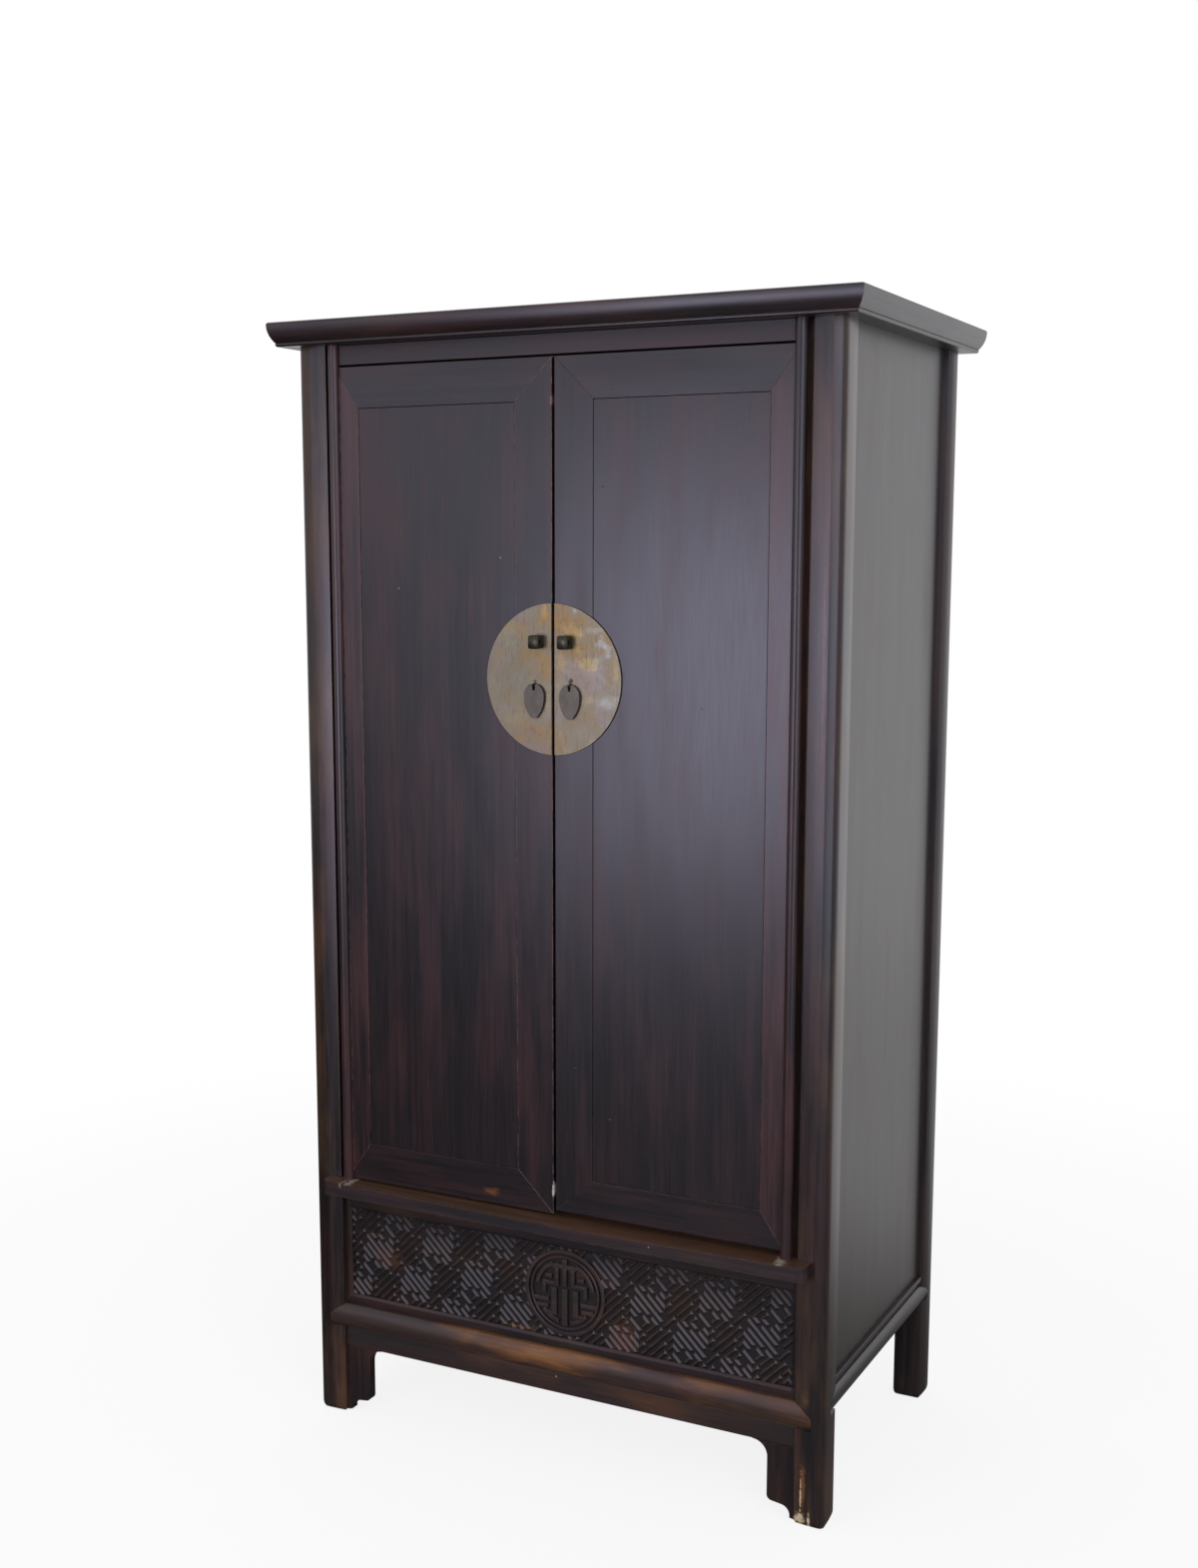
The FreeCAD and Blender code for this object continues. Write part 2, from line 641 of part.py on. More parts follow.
# The fret repeats on a square lattice that leans: from one cross to the next it goes two
# cells across and eight along. Points are in cells. The strokes of the cross and of the eye are
# turned four ways about their centre, and the lone ones aren't.
lattice_shares = ((2, 8), (-8, 2))
cross_centre_shares = (0, 0)
cross_stroke_shares = (((0, 2), (0, 5)),)
eye_centre_shares = (-3, 5)
eye_stroke_shares = (((3, 1), (3, 2), (1, 2)), ((2, 0), (2, 1), (1, 1)))
lone_stroke_shares = (((1, 1), (1, 7)), ((-1, 1), (-7, 1)))


def fret_strokes():
    strokes = [list(stroke) for stroke in lone_stroke_shares]
    sets = ((cross_centre_shares, cross_stroke_shares), (eye_centre_shares, eye_stroke_shares))
    for centre, drawn in sets:
        for stroke in drawn:
            turned = list(stroke)
            for quarter in range(4):
                strokes.append([(x + centre[0], y + centre[1]) for x, y in turned])
                turned = [(-y, x) for x, y in turned]
    return strokes


def band(points, half):
    # The outline of a stroke of constant width with square ends, in cells.
    steps = []
    for (x1, y1), (x2, y2) in zip(points, points[1:]):
        length = math.hypot(x2 - x1, y2 - y1)
        steps.append(((x2 - x1) / length, (y2 - y1) / length))
    left, right = [], []
    for index, (x, y) in enumerate(points):
        before = steps[max(index - 1, 0)]
        after = steps[min(index, len(steps) - 1)]
        if index == 0:
            shift = (-after[0] * half, -after[1] * half)
            normal = (-after[1] * half, after[0] * half)
        elif index == len(points) - 1:
            shift = (before[0] * half, before[1] * half)
            normal = (-before[1] * half, before[0] * half)
        else:
            shift = (0, 0)
            normal = (-(before[1] + after[1]) * half, (before[0] + after[0]) * half)
        left.append((x + shift[0] + normal[0], y + shift[1] + normal[1]))
        right.append((x + shift[0] - normal[0], y + shift[1] - normal[1]))
    return left + right[::-1]


def upright_plate(points, start, depth):
    # A plate whose outline stands in the XZ plane, from start towards the back.
    corners = [FreeCAD.Vector(x, start, z) for x, z in points]
    face = Part.Face(Part.makePolygon(corners + corners[:1]))
    return face.extrude(FreeCAD.Vector(0, depth, 0))


# Bars of the roundel as shares of its radius: left, bottom, right and top of one half.
# The other half mirrors them, and the middle ones run across.
middle_bar_shares = ((-0.07, -0.78, 0.07, 0.08), (-0.06, 0.62, 0.06, 0.86),
                     (-0.30, 0.55, 0.30, 0.65), (-0.05, 0.14, 0.05, 0.55))
side_bar_shares = ((0.20, -0.56, 0.34, 0.08), (0.34, -0.56, 0.46, -0.47),
                   (0.40, -0.26, 0.79, -0.17), (0.42, -0.42, 0.72, -0.33),
                   (0.15, 0.14, 0.25, 0.55), (0.25, 0.14, 0.56, 0.23),
                   (0.47, -0.07, 0.56, 0.14), (0.32, 0.30, 0.48, 0.39))
# Inner and outer reach as shares of the radius, then the first and last angle.
arc_bar_shares = ((0.66, 0.75, 12, 66), (0.66, 0.75, -78, -40))
# Outer and inner edge of the two rings.
ring_shares = ((1, 0.905), (0.85, 0.8))


def roundel(centre_x, centre_z, top, back, radius):
    # Two raised rings round mirrored bars and arcs.
    along = FreeCAD.Vector(0, 1, 0)
    depth = back - top
    pieces = []
    for outer, inner in ring_shares:
        base = FreeCAD.Vector(centre_x, top, centre_z)
        disc = Part.makeCylinder(outer * radius, depth, base, along)
        pieces.append(disc.cut(Part.makeCylinder(inner * radius, depth, base, along)))

    def bar(share, mirror):
        left, low, right, high = [value * radius for value in share]
        points = [(left, low), (right, low), (right, high), (left, high)]
        placed = [(centre_x + mirror * x, centre_z + z) for x, z in points]
        return upright_plate(placed, top, depth)

    def arc_bar(share, mirror):
        inner, outer, start, end = share
        angles = [math.radians(start + (end - start) * step / 2) for step in range(3)]
        rings = [[FreeCAD.Vector(centre_x + mirror * radius * reach * math.cos(angle), top,
                                 centre_z + radius * reach * math.sin(angle)) for angle in angles]
                 for reach in (inner, outer)]
        arcs = [Part.Arc(*points).toShape() for points in rings]
        ends = [Part.makeLine(rings[0][index], rings[1][index]) for index in (0, 2)]
        face = Part.Face(Part.Wire(Part.__sortEdges__([*arcs, *ends])))
        return face.extrude(FreeCAD.Vector(0, depth, 0))

    pieces += [bar(share, 1) for share in middle_bar_shares]
    for mirror in (1, -1):
        pieces += [bar(share, mirror) for share in side_bar_shares]
        pieces += [arc_bar(share, mirror) for share in arc_bar_shares]
    return pieces


def build_carved_board():
    # The carved board: a ground with the leaning fret in relief and the roundel on it.
    left, low, right, high = [number(edge) for edge in field_window()]
    ground = number(front + size.frieze_setback + size.frieze_ground)
    tongue = number(size.tongue_thick) - number(size.slack)
    thick = number(size.frieze_board)
    relief = number(size.fret_relief)
    pitch = number(size.fret_pitch)
    half = number(size.fret_width) / pitch / 2
    margin = number(size.fret_margin)
    sink = number(size.slack)
    top = ground - relief
    centre_x = number(size.roundel_shift)
    centre_z = (low + high) / 2
    radius = number(size.roundel_radius)
    board = Part.makeBox(right - left + 2 * tongue, thick, high - low + 2 * tongue,
                         FreeCAD.Vector(left - tongue, ground, low - tongue))
    window = Part.makeBox(right - left - 2 * margin, relief + sink, high - low - 2 * margin,
                          FreeCAD.Vector(left + margin, top, low + margin))
    disc = Part.makeCylinder(radius + margin, relief + sink, FreeCAD.Vector(centre_x, top, centre_z),
                             FreeCAD.Vector(0, 1, 0))
    window = window.cut(disc)
    diagonal = math.sqrt(0.5) * pitch
    across, along = lattice_shares
    reach = int((right - left) / pitch)
    repeat = math.hypot(*along) * pitch
    ribs = []
    for column in range(-reach, reach):
        for row in range(-reach, reach):
            shift_x = column * across[0] + row * along[0]
            shift_y = column * across[1] + row * along[1]
            lattice_x = (shift_x + shift_y) * diagonal
            lattice_z = (shift_x - shift_y) * diagonal
            if abs(lattice_x) > right + repeat or abs(lattice_z) > (high - low) / 2 + repeat:
                continue
            for stroke in fret_strokes():
                cells = band([(x + shift_x, y + shift_y) for x, y in stroke], half)
                points = [((x + y) * diagonal, centre_z + (x - y) * diagonal) for x, y in cells]
                inside = [left < x < right and low < z < high for x, z in points]
                if not any(inside):
                    continue
                rib = upright_plate(points, top, relief + sink)
                near = [math.hypot(x - centre_x, z - centre_z) < radius + margin + pitch for x, z in points]
                edge = [left + pitch < x < right - pitch and low + pitch < z < high - pitch
                        for x, z in points]
                if any(near) or not all(edge):
                    rib = rib.common(window)
                ribs += rib.Solids
    ribs += roundel(centre_x, centre_z, top, ground + sink, radius)
    carved = board.multiFuse(ribs).removeSplitter()
    feature = doc.addObject("Part::Feature", "carved_frieze_board")
    feature.Shape = carved
    feature.Placement = FreeCAD.Placement()
    finish(feature, "carved_frieze")


def build_inside():
    # Bottom board, floor board over the closed space behind the frieze, and two shelves.
    low = size.front_rail_top
    frieze_back = front + size.frieze_setback + size.frieze_depth
    back_face = half_depth - size.board_setback - size.board_thick - size.slack
    wide = half_width - size.side_rail_depth - size.slack
    bottom = block("bottom_boards", (-wide, post_back + size.slack, low),
                   (wide, -post_back - size.slack, low + size.floor_thick))
    rest = block("bottom_rest", (-post_inner + size.slack, frieze_back + size.slack, low),
                 (post_inner - size.slack, back_face, low + size.floor_thick))
    finish(joined("bottom_whole", bottom, rest), "bottom_board")

    def board(name, label, top, thick, front_edge):
        # a board between the sides, notched round the four posts
        wide = board_inner - size.slack
        narrow = post_inner - size.lip_width - size.slack
        deep = -post_back - size.slack
        inner = post_inner - size.slack
        plan = [(-wide, -deep), (-narrow, -deep), (-narrow, front_edge), (narrow, front_edge),
                (narrow, -deep), (wide, -deep), (wide, deep), (inner, deep), (inner, back_face),
                (-inner, back_face), (-inner, deep), (-wide, deep)]
        finish(prism(name, "xy", plan, top - thick, thick), label)

    board("floor_boards", "floor_board", size.ledge_top + size.floor_thick, size.floor_thick,
          front + size.floor_front)
    shelves = {"lower": size.lower_shelf_top, "upper": size.upper_shelf_top}
    for level, top in shelves.items():
        board(f"{level}_shelf_board", f"{level}_shelf", top, size.shelf_thick, front + size.shelf_front)
        under = top - size.shelf_thick
        for word, side in sides.items():
            near, far = span(side, board_inner - size.bearer_width, board_inner)
            bearer = block(f"{level}_{word}_bearer_bar", (near, post_back, under - size.bearer_height),
                           (far, -post_back, under))
            finish(bearer, f"{level}_{word}_bearer")


# Middles of the two battens as shares of the panel's height.
batten_shares = (("upper", 0.72), ("lower", 0.28))


def build_door(word, side):
    # A mitred frame on a round pivot stile, a flush panel and two battens.
    outer = pivot_place
    inner = size.door_gap / 2
    panel_out = pivot_place - size.pivot_flat
    panel_in = inner + size.frame_width
    panel_low = door_bottom + size.frame_width
    panel_high = door_top - size.frame_width
    thick = size.door_thick
    groove_front = front + size.panel_face
    reach = size.panel_tongue
    seam = size.panel_seam

    def flipped(corners):
        return [(side * x, z) for x, z in corners]

    def slab(name, x1, x2, y1, y2, z1, z2):
        near, far = span(side, x1, x2)
        return block(name, (near, y1, z1), (far, y2, z2))

    face = slab(f"{word}_panel_face", panel_in + seam, panel_out - seam, front + size.panel_sink,
                groove_front, panel_low + seam, panel_high - seam)
    tongue = slab(f"{word}_panel_tongue", panel_in - reach, panel_out + reach, groove_front,
                  groove_front + size.tongue_thick, panel_low - reach, panel_high + reach)
    finish(joined(f"{word}_panel_whole", face, tongue), f"{word}_door_panel")
    batten_front = groove_front + size.tongue_thick
    battens = []
    for level, share in batten_shares:
        middle = panel_low + (panel_high - panel_low) * share
        half = size.batten_height / 2
        batten = slab(f"{word}_{level}_batten_bar", panel_in - size.batten_tenon,
                      panel_out + size.batten_tenon, batten_front, door_back, middle - half,
                      middle + half)
        battens.append(batten)
        finish(batten, f"{word}_door_{level}_batten")
    tenons = {}
    tenon_front = groove_front + size.tongue_thick
    for level, low in (("top", panel_high + size.tenon_shoulder + reach),
                       ("bottom", door_bottom + size.tenon_shoulder * 2)):
        tenons[level] = slab(f"{word}_{level}_tenon", inner + size.door_tenon_side,
                             outer - size.door_tenon_side / 2, tenon_front,
                             tenon_front + size.door_tenon_thick, low, low + size.door_tenon_side)
    corners = {
        "top": [(inner, door_top), (outer, door_top), (panel_out, panel_high), (panel_in, panel_high)],
        "bottom": [(inner, door_bottom), (outer, door_bottom), (panel_out, panel_low),
                   (panel_in, panel_low)],
        "lock": [(inner, door_bottom), (panel_in, panel_low), (panel_in, panel_high),
                 (inner, door_top)],
        "pivot": [(outer, door_bottom), (panel_out, panel_low), (panel_out, panel_high),
                  (outer, door_top)],
    }
    centre = side * pivot_place
    foot = size.ledge_top + size.slack
    head = cap_bottom - size.slack
    shaft = rod(f"{word}_pivot_shaft", (centre, front, foot), size.pivot_radius, head - foot, "z")
    for level in ("top", "bottom"):
        bar = prism(f"{word}_{level}_bar", "xz", flipped(corners[level]), front, thick)
        whole = joined(f"{word}_{level}_whole", bar, tenons[level])
        finish(without(f"{word}_{level}_cut", whole, [tongue, shaft]), f"{word}_door_{level}_rail")
    boss_shank = shank(f"{word}_boss_shank", side * size.boss_place, size.boss_height,
                       size.boss_shank, front - size.plate_thick)
    eye_shank = shank(f"{word}_eye_shank", side * size.pull_place, size.eye_height,
                      size.eye_shank, pull_axis + size.pull_pin + size.pin_slack)
    lock = prism(f"{word}_lock_bar", "xz", flipped(corners["lock"]), front, thick)
    cuts = [tongue, *tenons.values(), *battens, boss_shank, eye_shank]
    finish(without(f"{word}_lock_cut", lock, cuts), f"{word}_lock_stile")
    flat = prism(f"{word}_pivot_bar", "xz", flipped(corners["pivot"]), front, thick)
    pins = rod(f"{word}_pivot_pins", (centre, front, size.ledge_top - size.pin_foot),
               size.pin_radius, cap_bottom - size.ledge_top + size.pin_foot + size.pin_head, "z")
    whole = joined(f"{word}_pivot_whole", flat, shaft, pins)
    cuts = [tongue, *tenons.values(), *battens]
    finish(without(f"{word}_pivot_cut", whole, cuts), f"{word}_pivot_stile")
    build_metalwork(word, side, inner, boss_shank, eye_shank)


def shank(name, centre_x, centre_z, thick, start):
    # The square leg of a boss or an eye, from its front end through the plate and the door.
    half = thick / 2
    return block(name, (centre_x - half, start, centre_z - half),
                 (centre_x + half, door_back, centre_z + half))


def build_metalwork(word, side, edge, boss_shank, eye_shank):
    # Half of the round brass plate, a pierced lock boss, an eye and the leaf-shaped pull.
    radius = size.plate_radius
    thick = size.plate_thick
    face = front - thick
    centre = size.plate_height
    half_chord = Dim(math.sqrt(radius.value ** 2 - edge.value ** 2),
                     f"sqrt({radius.text} ^ 2 - {edge.text} ^ 2)")
    arc = [(side * edge, centre - half_chord), (side * radius, centre, radius, "out"),
           (side * edge, centre + half_chord, radius, "out")]
    disc = prism(f"{word}_plate_disc", "xz", arc, face, thick)
    boss_x = side * size.boss_place
    finish(without(f"{word}_plate_cut", disc, [boss_shank, eye_shank]), f"{word}_lock_plate")
    half = size.boss_width / 2
    corner = size.boss_round
    low = size.boss_height - size.boss_tall / 2
    high = size.boss_height + size.boss_tall / 2
    square = [(boss_x - half + corner, low, corner, "out"), (boss_x + half - corner, low),
              (boss_x + half, low + corner, corner, "out"), (boss_x + half, high - corner),
              (boss_x + half - corner, high, corner, "out"), (boss_x - half + corner, high),
              (boss_x - half, high - corner, corner, "out"), (boss_x - half, low + corner)]
    knob = prism(f"{word}_boss_block", "xz", square, face - size.boss_proud, size.boss_proud)
    # the bore lies near the front, so that a lock's bar clears the round pivot stiles
    bore_y = face - size.boss_proud + size.boss_wall + size.boss_bore
    bore = rod(f"{word}_boss_bore", (boss_x - half - size.overrun, bore_y, size.boss_height),
               size.boss_bore, size.boss_width + 2 * size.overrun, "x")
    whole = joined(f"{word}_boss_whole", knob, boss_shank)
    finish(without(f"{word}_boss_cut", whole, [bore]), f"{word}_lock_boss")
    build_pull(word, side * size.pull_place, eye_shank)


def build_pull(word, centre, leg):
    # The eye stands out of the plate, and the leaf hangs from a pin through it.
    bore = size.pull_pin + size.pin_slack
    axis_y = pull_axis
    start = centre - size.eye_wire
    loop = rod(f"{word}_eye_loop", (start, axis_y, size.eye_height), bore + 2 * size.eye_wire,
               2 * size.eye_wire, "x")
    hole = rod(f"{word}_eye_bore", (start - size.overrun, axis_y, size.eye_height), bore,
               2 * size.eye_wire + 2 * size.overrun, "x")
    whole = joined(f"{word}_eye_whole", loop, leg)
    finish(without(f"{word}_eye_cut", whole, [hole]), f"{word}_pull_eye")
    top = size.eye_height + size.pull_top
    ear = size.pull_ear / 2
    widest = size.eye_height - size.pull_shoulder
    tip = size.eye_height - size.pull_drop
    half = size.pull_width / 2
    leaf = [(centre - size.pull_tip, tip, size.pull_flank_radius, "out"),
            (centre + size.pull_tip, tip, size.pull_tip * 2, "out"),
            (centre + half, widest, size.pull_flank_radius, "out"),
            (centre + ear, top, size.pull_shoulder_radius, "out"), (centre - ear, top),
            (centre - half, widest, size.pull_shoulder_radius, "out")]
    blank = prism(f"{word}_pull_leaf", "xz", leaf, axis_y - size.pull_thick / 2, size.pull_thick)
    slot = size.pull_slot / 2
    notch = block(f"{word}_pull_notch",
                  (centre - slot, axis_y - size.pull_thick, size.eye_height - size.pull_slot_drop),
                  (centre + slot, axis_y + size.pull_thick, top + size.overrun))
    cut = without(f"{word}_pull_cut", blank, [notch])
    pin = rod(f"{word}_pull_pin", (centre - ear, axis_y, size.eye_height), size.pull_pin,
              size.pull_ear, "x")
    finish(joined(f"{word}_pull_whole", cut, pin), f"{word}_pull")


def build_cabinet():
    build_lintel()
    build_ledge()
    build_front_rail()
    for word, side in sides.items():
        build_side_rail(word, side)
        build_side_panel(word, side)
    build_back()
    build_posts()
    build_cap()
    build_apron()
    build_frieze_frame()
    build_carved_board()
    build_inside()
    for word, side in sides.items():
        build_door(word, side)


def check_and_export():
    doc.recompute()
    for thing in doc.Objects:
        if "Invalid" in thing.State or "Error" in thing.State:
            raise RuntimeError(f"{thing.Label} failed: {thing.State}")
    os.makedirs("parts", exist_ok=True)
    for thing in finished:
        shape = thing.Shape
        if shape.isNull() or not shape.isValid() or not shape.Solids:
            raise RuntimeError(f"{thing.Label} has no sound shape")
    for thing in finished:
        thing.Shape.exportStep(f"parts/{thing.Label}.step")
        print(thing.Label, len(thing.Shape.Solids), round(thing.Shape.Volume))
    print(len(finished), "pieces")


build_cabinet()
check_and_export()
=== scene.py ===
import bpy
import bmesh
import json
import math
from functools import partial
from mathutils import Matrix, Vector


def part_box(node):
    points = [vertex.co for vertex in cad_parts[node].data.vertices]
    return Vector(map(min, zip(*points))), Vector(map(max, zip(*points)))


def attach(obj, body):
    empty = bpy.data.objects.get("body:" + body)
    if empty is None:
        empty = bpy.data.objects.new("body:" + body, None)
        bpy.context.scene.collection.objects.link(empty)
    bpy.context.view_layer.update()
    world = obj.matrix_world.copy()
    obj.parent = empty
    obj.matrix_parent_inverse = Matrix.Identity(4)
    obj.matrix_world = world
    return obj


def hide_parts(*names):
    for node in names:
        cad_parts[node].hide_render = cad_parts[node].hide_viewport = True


# Looks of a tall lacquered book cabinet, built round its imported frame. Metres, Z up, front at -Y.
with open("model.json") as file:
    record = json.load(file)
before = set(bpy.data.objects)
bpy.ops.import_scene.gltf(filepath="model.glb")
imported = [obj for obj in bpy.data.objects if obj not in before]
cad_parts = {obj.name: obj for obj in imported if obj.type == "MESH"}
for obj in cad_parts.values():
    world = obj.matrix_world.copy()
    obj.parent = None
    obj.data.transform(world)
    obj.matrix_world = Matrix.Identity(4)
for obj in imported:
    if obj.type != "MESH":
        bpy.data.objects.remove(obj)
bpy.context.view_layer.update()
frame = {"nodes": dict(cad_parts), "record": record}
nodes = frame["nodes"]
mm = 0.001


def toLinear(hexColor):
    # sRGB hex text to linear colour
    parts = [int(hexColor[i:i + 2], 16) / 255 for i in (1, 3, 5)]
    return tuple(c / 12.92 if c <= 0.04045 else ((c + 0.055) / 1.055) ** 2.4
                 for c in parts) + (1.0,)


# What most nodes of a kind have in common here
usualSettings = {"Mix": {"data_type": "RGBA"}, "MapRange": {"interpolation_type": "SMOOTHSTEP"}}


def addNode(tree, kind, inputs=(), stops=(), **settings):
    # one shader node: its kind, with its operation after a full stop, its inputs in order or by
    # key, each a value, colour, node or socket, and its settings
    kind, _, operation = kind.partition(".")
    made = tree.nodes.new("ShaderNode" + kind)
    if operation:
        made.operation = operation
    for key, value in {**usualSettings.get(kind, {}), **settings}.items():
        setattr(made, key, value)
    while stops and len(made.color_ramp.elements) < len(stops):
        made.color_ramp.elements.new(0.5)
    for number, (place, color) in enumerate(stops):
        element = made.color_ramp.elements[number]
        element.position = place
        element.color = toLinear(color) if isinstance(color, str) else (color, color, color, 1)
    for key, value in inputs.items() if isinstance(inputs, dict) else enumerate(inputs):
        socket = made.inputs[key]
        if isinstance(value, bpy.types.Node):
            value = value.outputs[2 if value.bl_idname == "ShaderNodeMix" else 0]
        if isinstance(value, bpy.types.NodeSocket):
            tree.links.new(value, socket)
        else:
            socket.default_value = toLinear(value) if isinstance(value, str) else value
    return made


def newMaterial(name):
    material = bpy.data.materials.new(name)
    material.use_nodes = True
    material.node_tree.nodes.clear()
    return material, partial(addNode, material.node_tree)


def noiseInputs(where, sizeMm, detail=3, roughness=0.55):
    return {"Vector": where, "Scale": 1 / (sizeMm * mm), "Detail": detail, "Roughness": roughness}


grainTurns = {"z": (1, 1, 0), "x": (0, 1, 1), "y": (1, 0, 1)}    # 0 marks the way the grain runs


def grainInputs(where, grain, stretch, shift):
    scale = [1 if flag else 1 / stretch for flag in grainTurns[grain]]
    return {"Vector": where, "Scale": scale, "Location": shift}


# Marks that all finishes share
marks = {
    "bevelSamples": 6, "bend": (0.02, 0.22),          # of the bevel's normal, from flat to worn
    "nickMm": 14, "nicks": (0.36, 0.62),              # noise that breaks a worn edge up
    "ragged": (5, 0.7),                               # detail and roughness of a ragged rim
    "raggedReach": 2.6, "solidShare": 0.3,            # rim of a single patch, as shares of its size
}


def edgeMask(add, where, edgeMm, nickMm=marks["nickMm"]):
    # the bevel normal leaves the surface normal only near an edge; nicks break the line up
    soft = add("Bevel", {"Radius": edgeMm * mm}, samples=marks["bevelSamples"])
    normal = add("NewGeometry").outputs["Normal"]
    dot = add("VectorMath.DOT_PRODUCT", (soft, normal))
    bend = add("Math.SUBTRACT", (1.0, dot.outputs["Value"]))
    bend = add("MapRange", (bend, *marks["bend"]))
    nicks = add("TexNoise", noiseInputs(where, nickMm, *marks["ragged"]))
    nicks = add("MapRange", (nicks, *marks["nicks"]))
    return add("Math.MULTIPLY", (bend, nicks))


def spotMask(add, parts, ragged, x, z, wide, tall):
    # a patch with a ragged rim on a face that looks to the front; all four in millimetres
    across = add("Math.DIVIDE", (add("Math.SUBTRACT", (parts.outputs["X"], x * mm)), wide * mm))
    upward = add("Math.DIVIDE", (add("Math.SUBTRACT", (parts.outputs["Z"], z * mm)), tall * mm))
    reach = add("Math.ADD", (add("Math.MULTIPLY", (across, across)),
                             add("Math.MULTIPLY", (upward, upward))))
    uneven = add("Math.MULTIPLY", (add("Math.SUBTRACT", (ragged, 0.5)), marks["raggedReach"]))
    reach = add("Math.ADD", (add("Math.SQRT", (reach,)), uneven))
    return add("MapRange", (reach, marks["solidShare"], 1.0, 1.0, 0.0))


def scattered(add, where, apartMm, rim, pick):
    # round marks in some of the cells of a Voronoi pattern
    cells = add("TexVoronoi", {"Vector": where, "Scale": 1 / (apartMm * mm)})
    drawn = add("SeparateXYZ", {"Vector": cells.outputs["Color"]})
    mark = add("MapRange", (cells.outputs["Distance"], *rim, 1.0, 0.0))
    return add("Math.MULTIPLY", (mark, add("MapRange", (drawn.outputs["X"], *pick))))


# Chinese lacquer on elm: thin brown-black coats rubbed on by hand over a red-brown ground. The eye
# gets a deep satin skin with fine brush hairs along the grain, soft red-brown clouds where the coat
# is thin, a few dents, and a lighter line of wood on the edges.
lacquerLook = {
    "lacquer": "#1b1517",       # the skin
    "streak": "#141011",        # darker brush streaks in it
    "ground": "#3d1f1d",        # red-brown ground under a thin coat
    "wood": "#7c5a3a",          # worn to the timber
    "pale": "#cdb791",          # plaster specks
    "bruise": "#0c0909",        # in dents
    "soot": "#0b0808",          # painted shade for the sunk ground of a carving
    "nameShift": (0.37, 0.11, 0.23),    # moves the patterns for each letter of the name
    "hairMm": 1.3, "bandMm": 8, "cloudMm": 48, "waveMm": 70, "raggedMm": 7,
    "hairNoise": (3, 0.6), "cloudNoise": (3, 0.5), "patchNoise": (4, 0.6),    # detail, roughness
    "stretch": 45, "cloudStretch": 5, "waveStretch": 4,
    "streakRange": (0.35, 0.62),
    "hairTones": ((0.3, 0.72), (0.5, 1.0), (0.72, 1.35)),
    "thinShare": 0.45,          # how much of the skin is thin
    "thinRange": (0.55, 0.82), "thinReach": 0.25, "thinStrength": 0.46,
    "cloudShare": 0.72, "bandShare": 0.28,      # of clouds and streaks in the thin places
    "wear": 0.0,                # warm brown patches, for rails and feet
    "patchGrowth": 1.4, "patchRange": (0.42, 0.68),
    "topWear": 0.0,             # the same on faces that look up
    "upRange": (0.5, 0.9), "topBands": (0.3, 0.6, 0.55, 1.0),
    "wearEnds": None,           # X in mm from which the brown wear fades to the right, and to which
    "wearLeft": 0.2,            # how much of it is left past there
    "dirt": None,               # Y of a carved ground; past it the colour is painted darker with depth, as shade in the recesses
    "recessShadeMm": (3.2, 0.6), "recessShadeStrength": 0.85,
    "edgeWear": 0.3, "edgeMm": 2.5,
    "dentMm": 95, "dentSquash": 2.6, "dentTurn": 0.3, "dentRim": (0.015, 0.04),
    "dentPick": (0.6, 0.66), "dentShade": 0.6, "dentDeepMm": 0.25,
    "specks": 0.0,              # old plaster specks
    "speckMm": 46, "speckRim": (0.02, 0.036), "speckPick": (0.88, 0.9),
    "spots": (),                # (x, z, wide, tall, colour) of single marks, a few of them painted light
    "crown": None,              # (x, y) of a post's middle, whose faces are rounded by the plane
    "crownSlope": 0.0,          # how far they fall away, as a slope for each metre from the middle
    "shoulder": None,           # (mm from the middle, slope there, more for each metre) of a corner
    "lean": 0.0,                # slope of a door leaf that hangs a little out of true
    "roughness": 0.31, "hairRough": 0.12, "thinRough": 0.04, "edgeRough": 0.08,
    "bumpMm": 0.03, "swellMm": 0.9,
    "ior": 1.47, "mirrorTint": "#eeeeff",
}


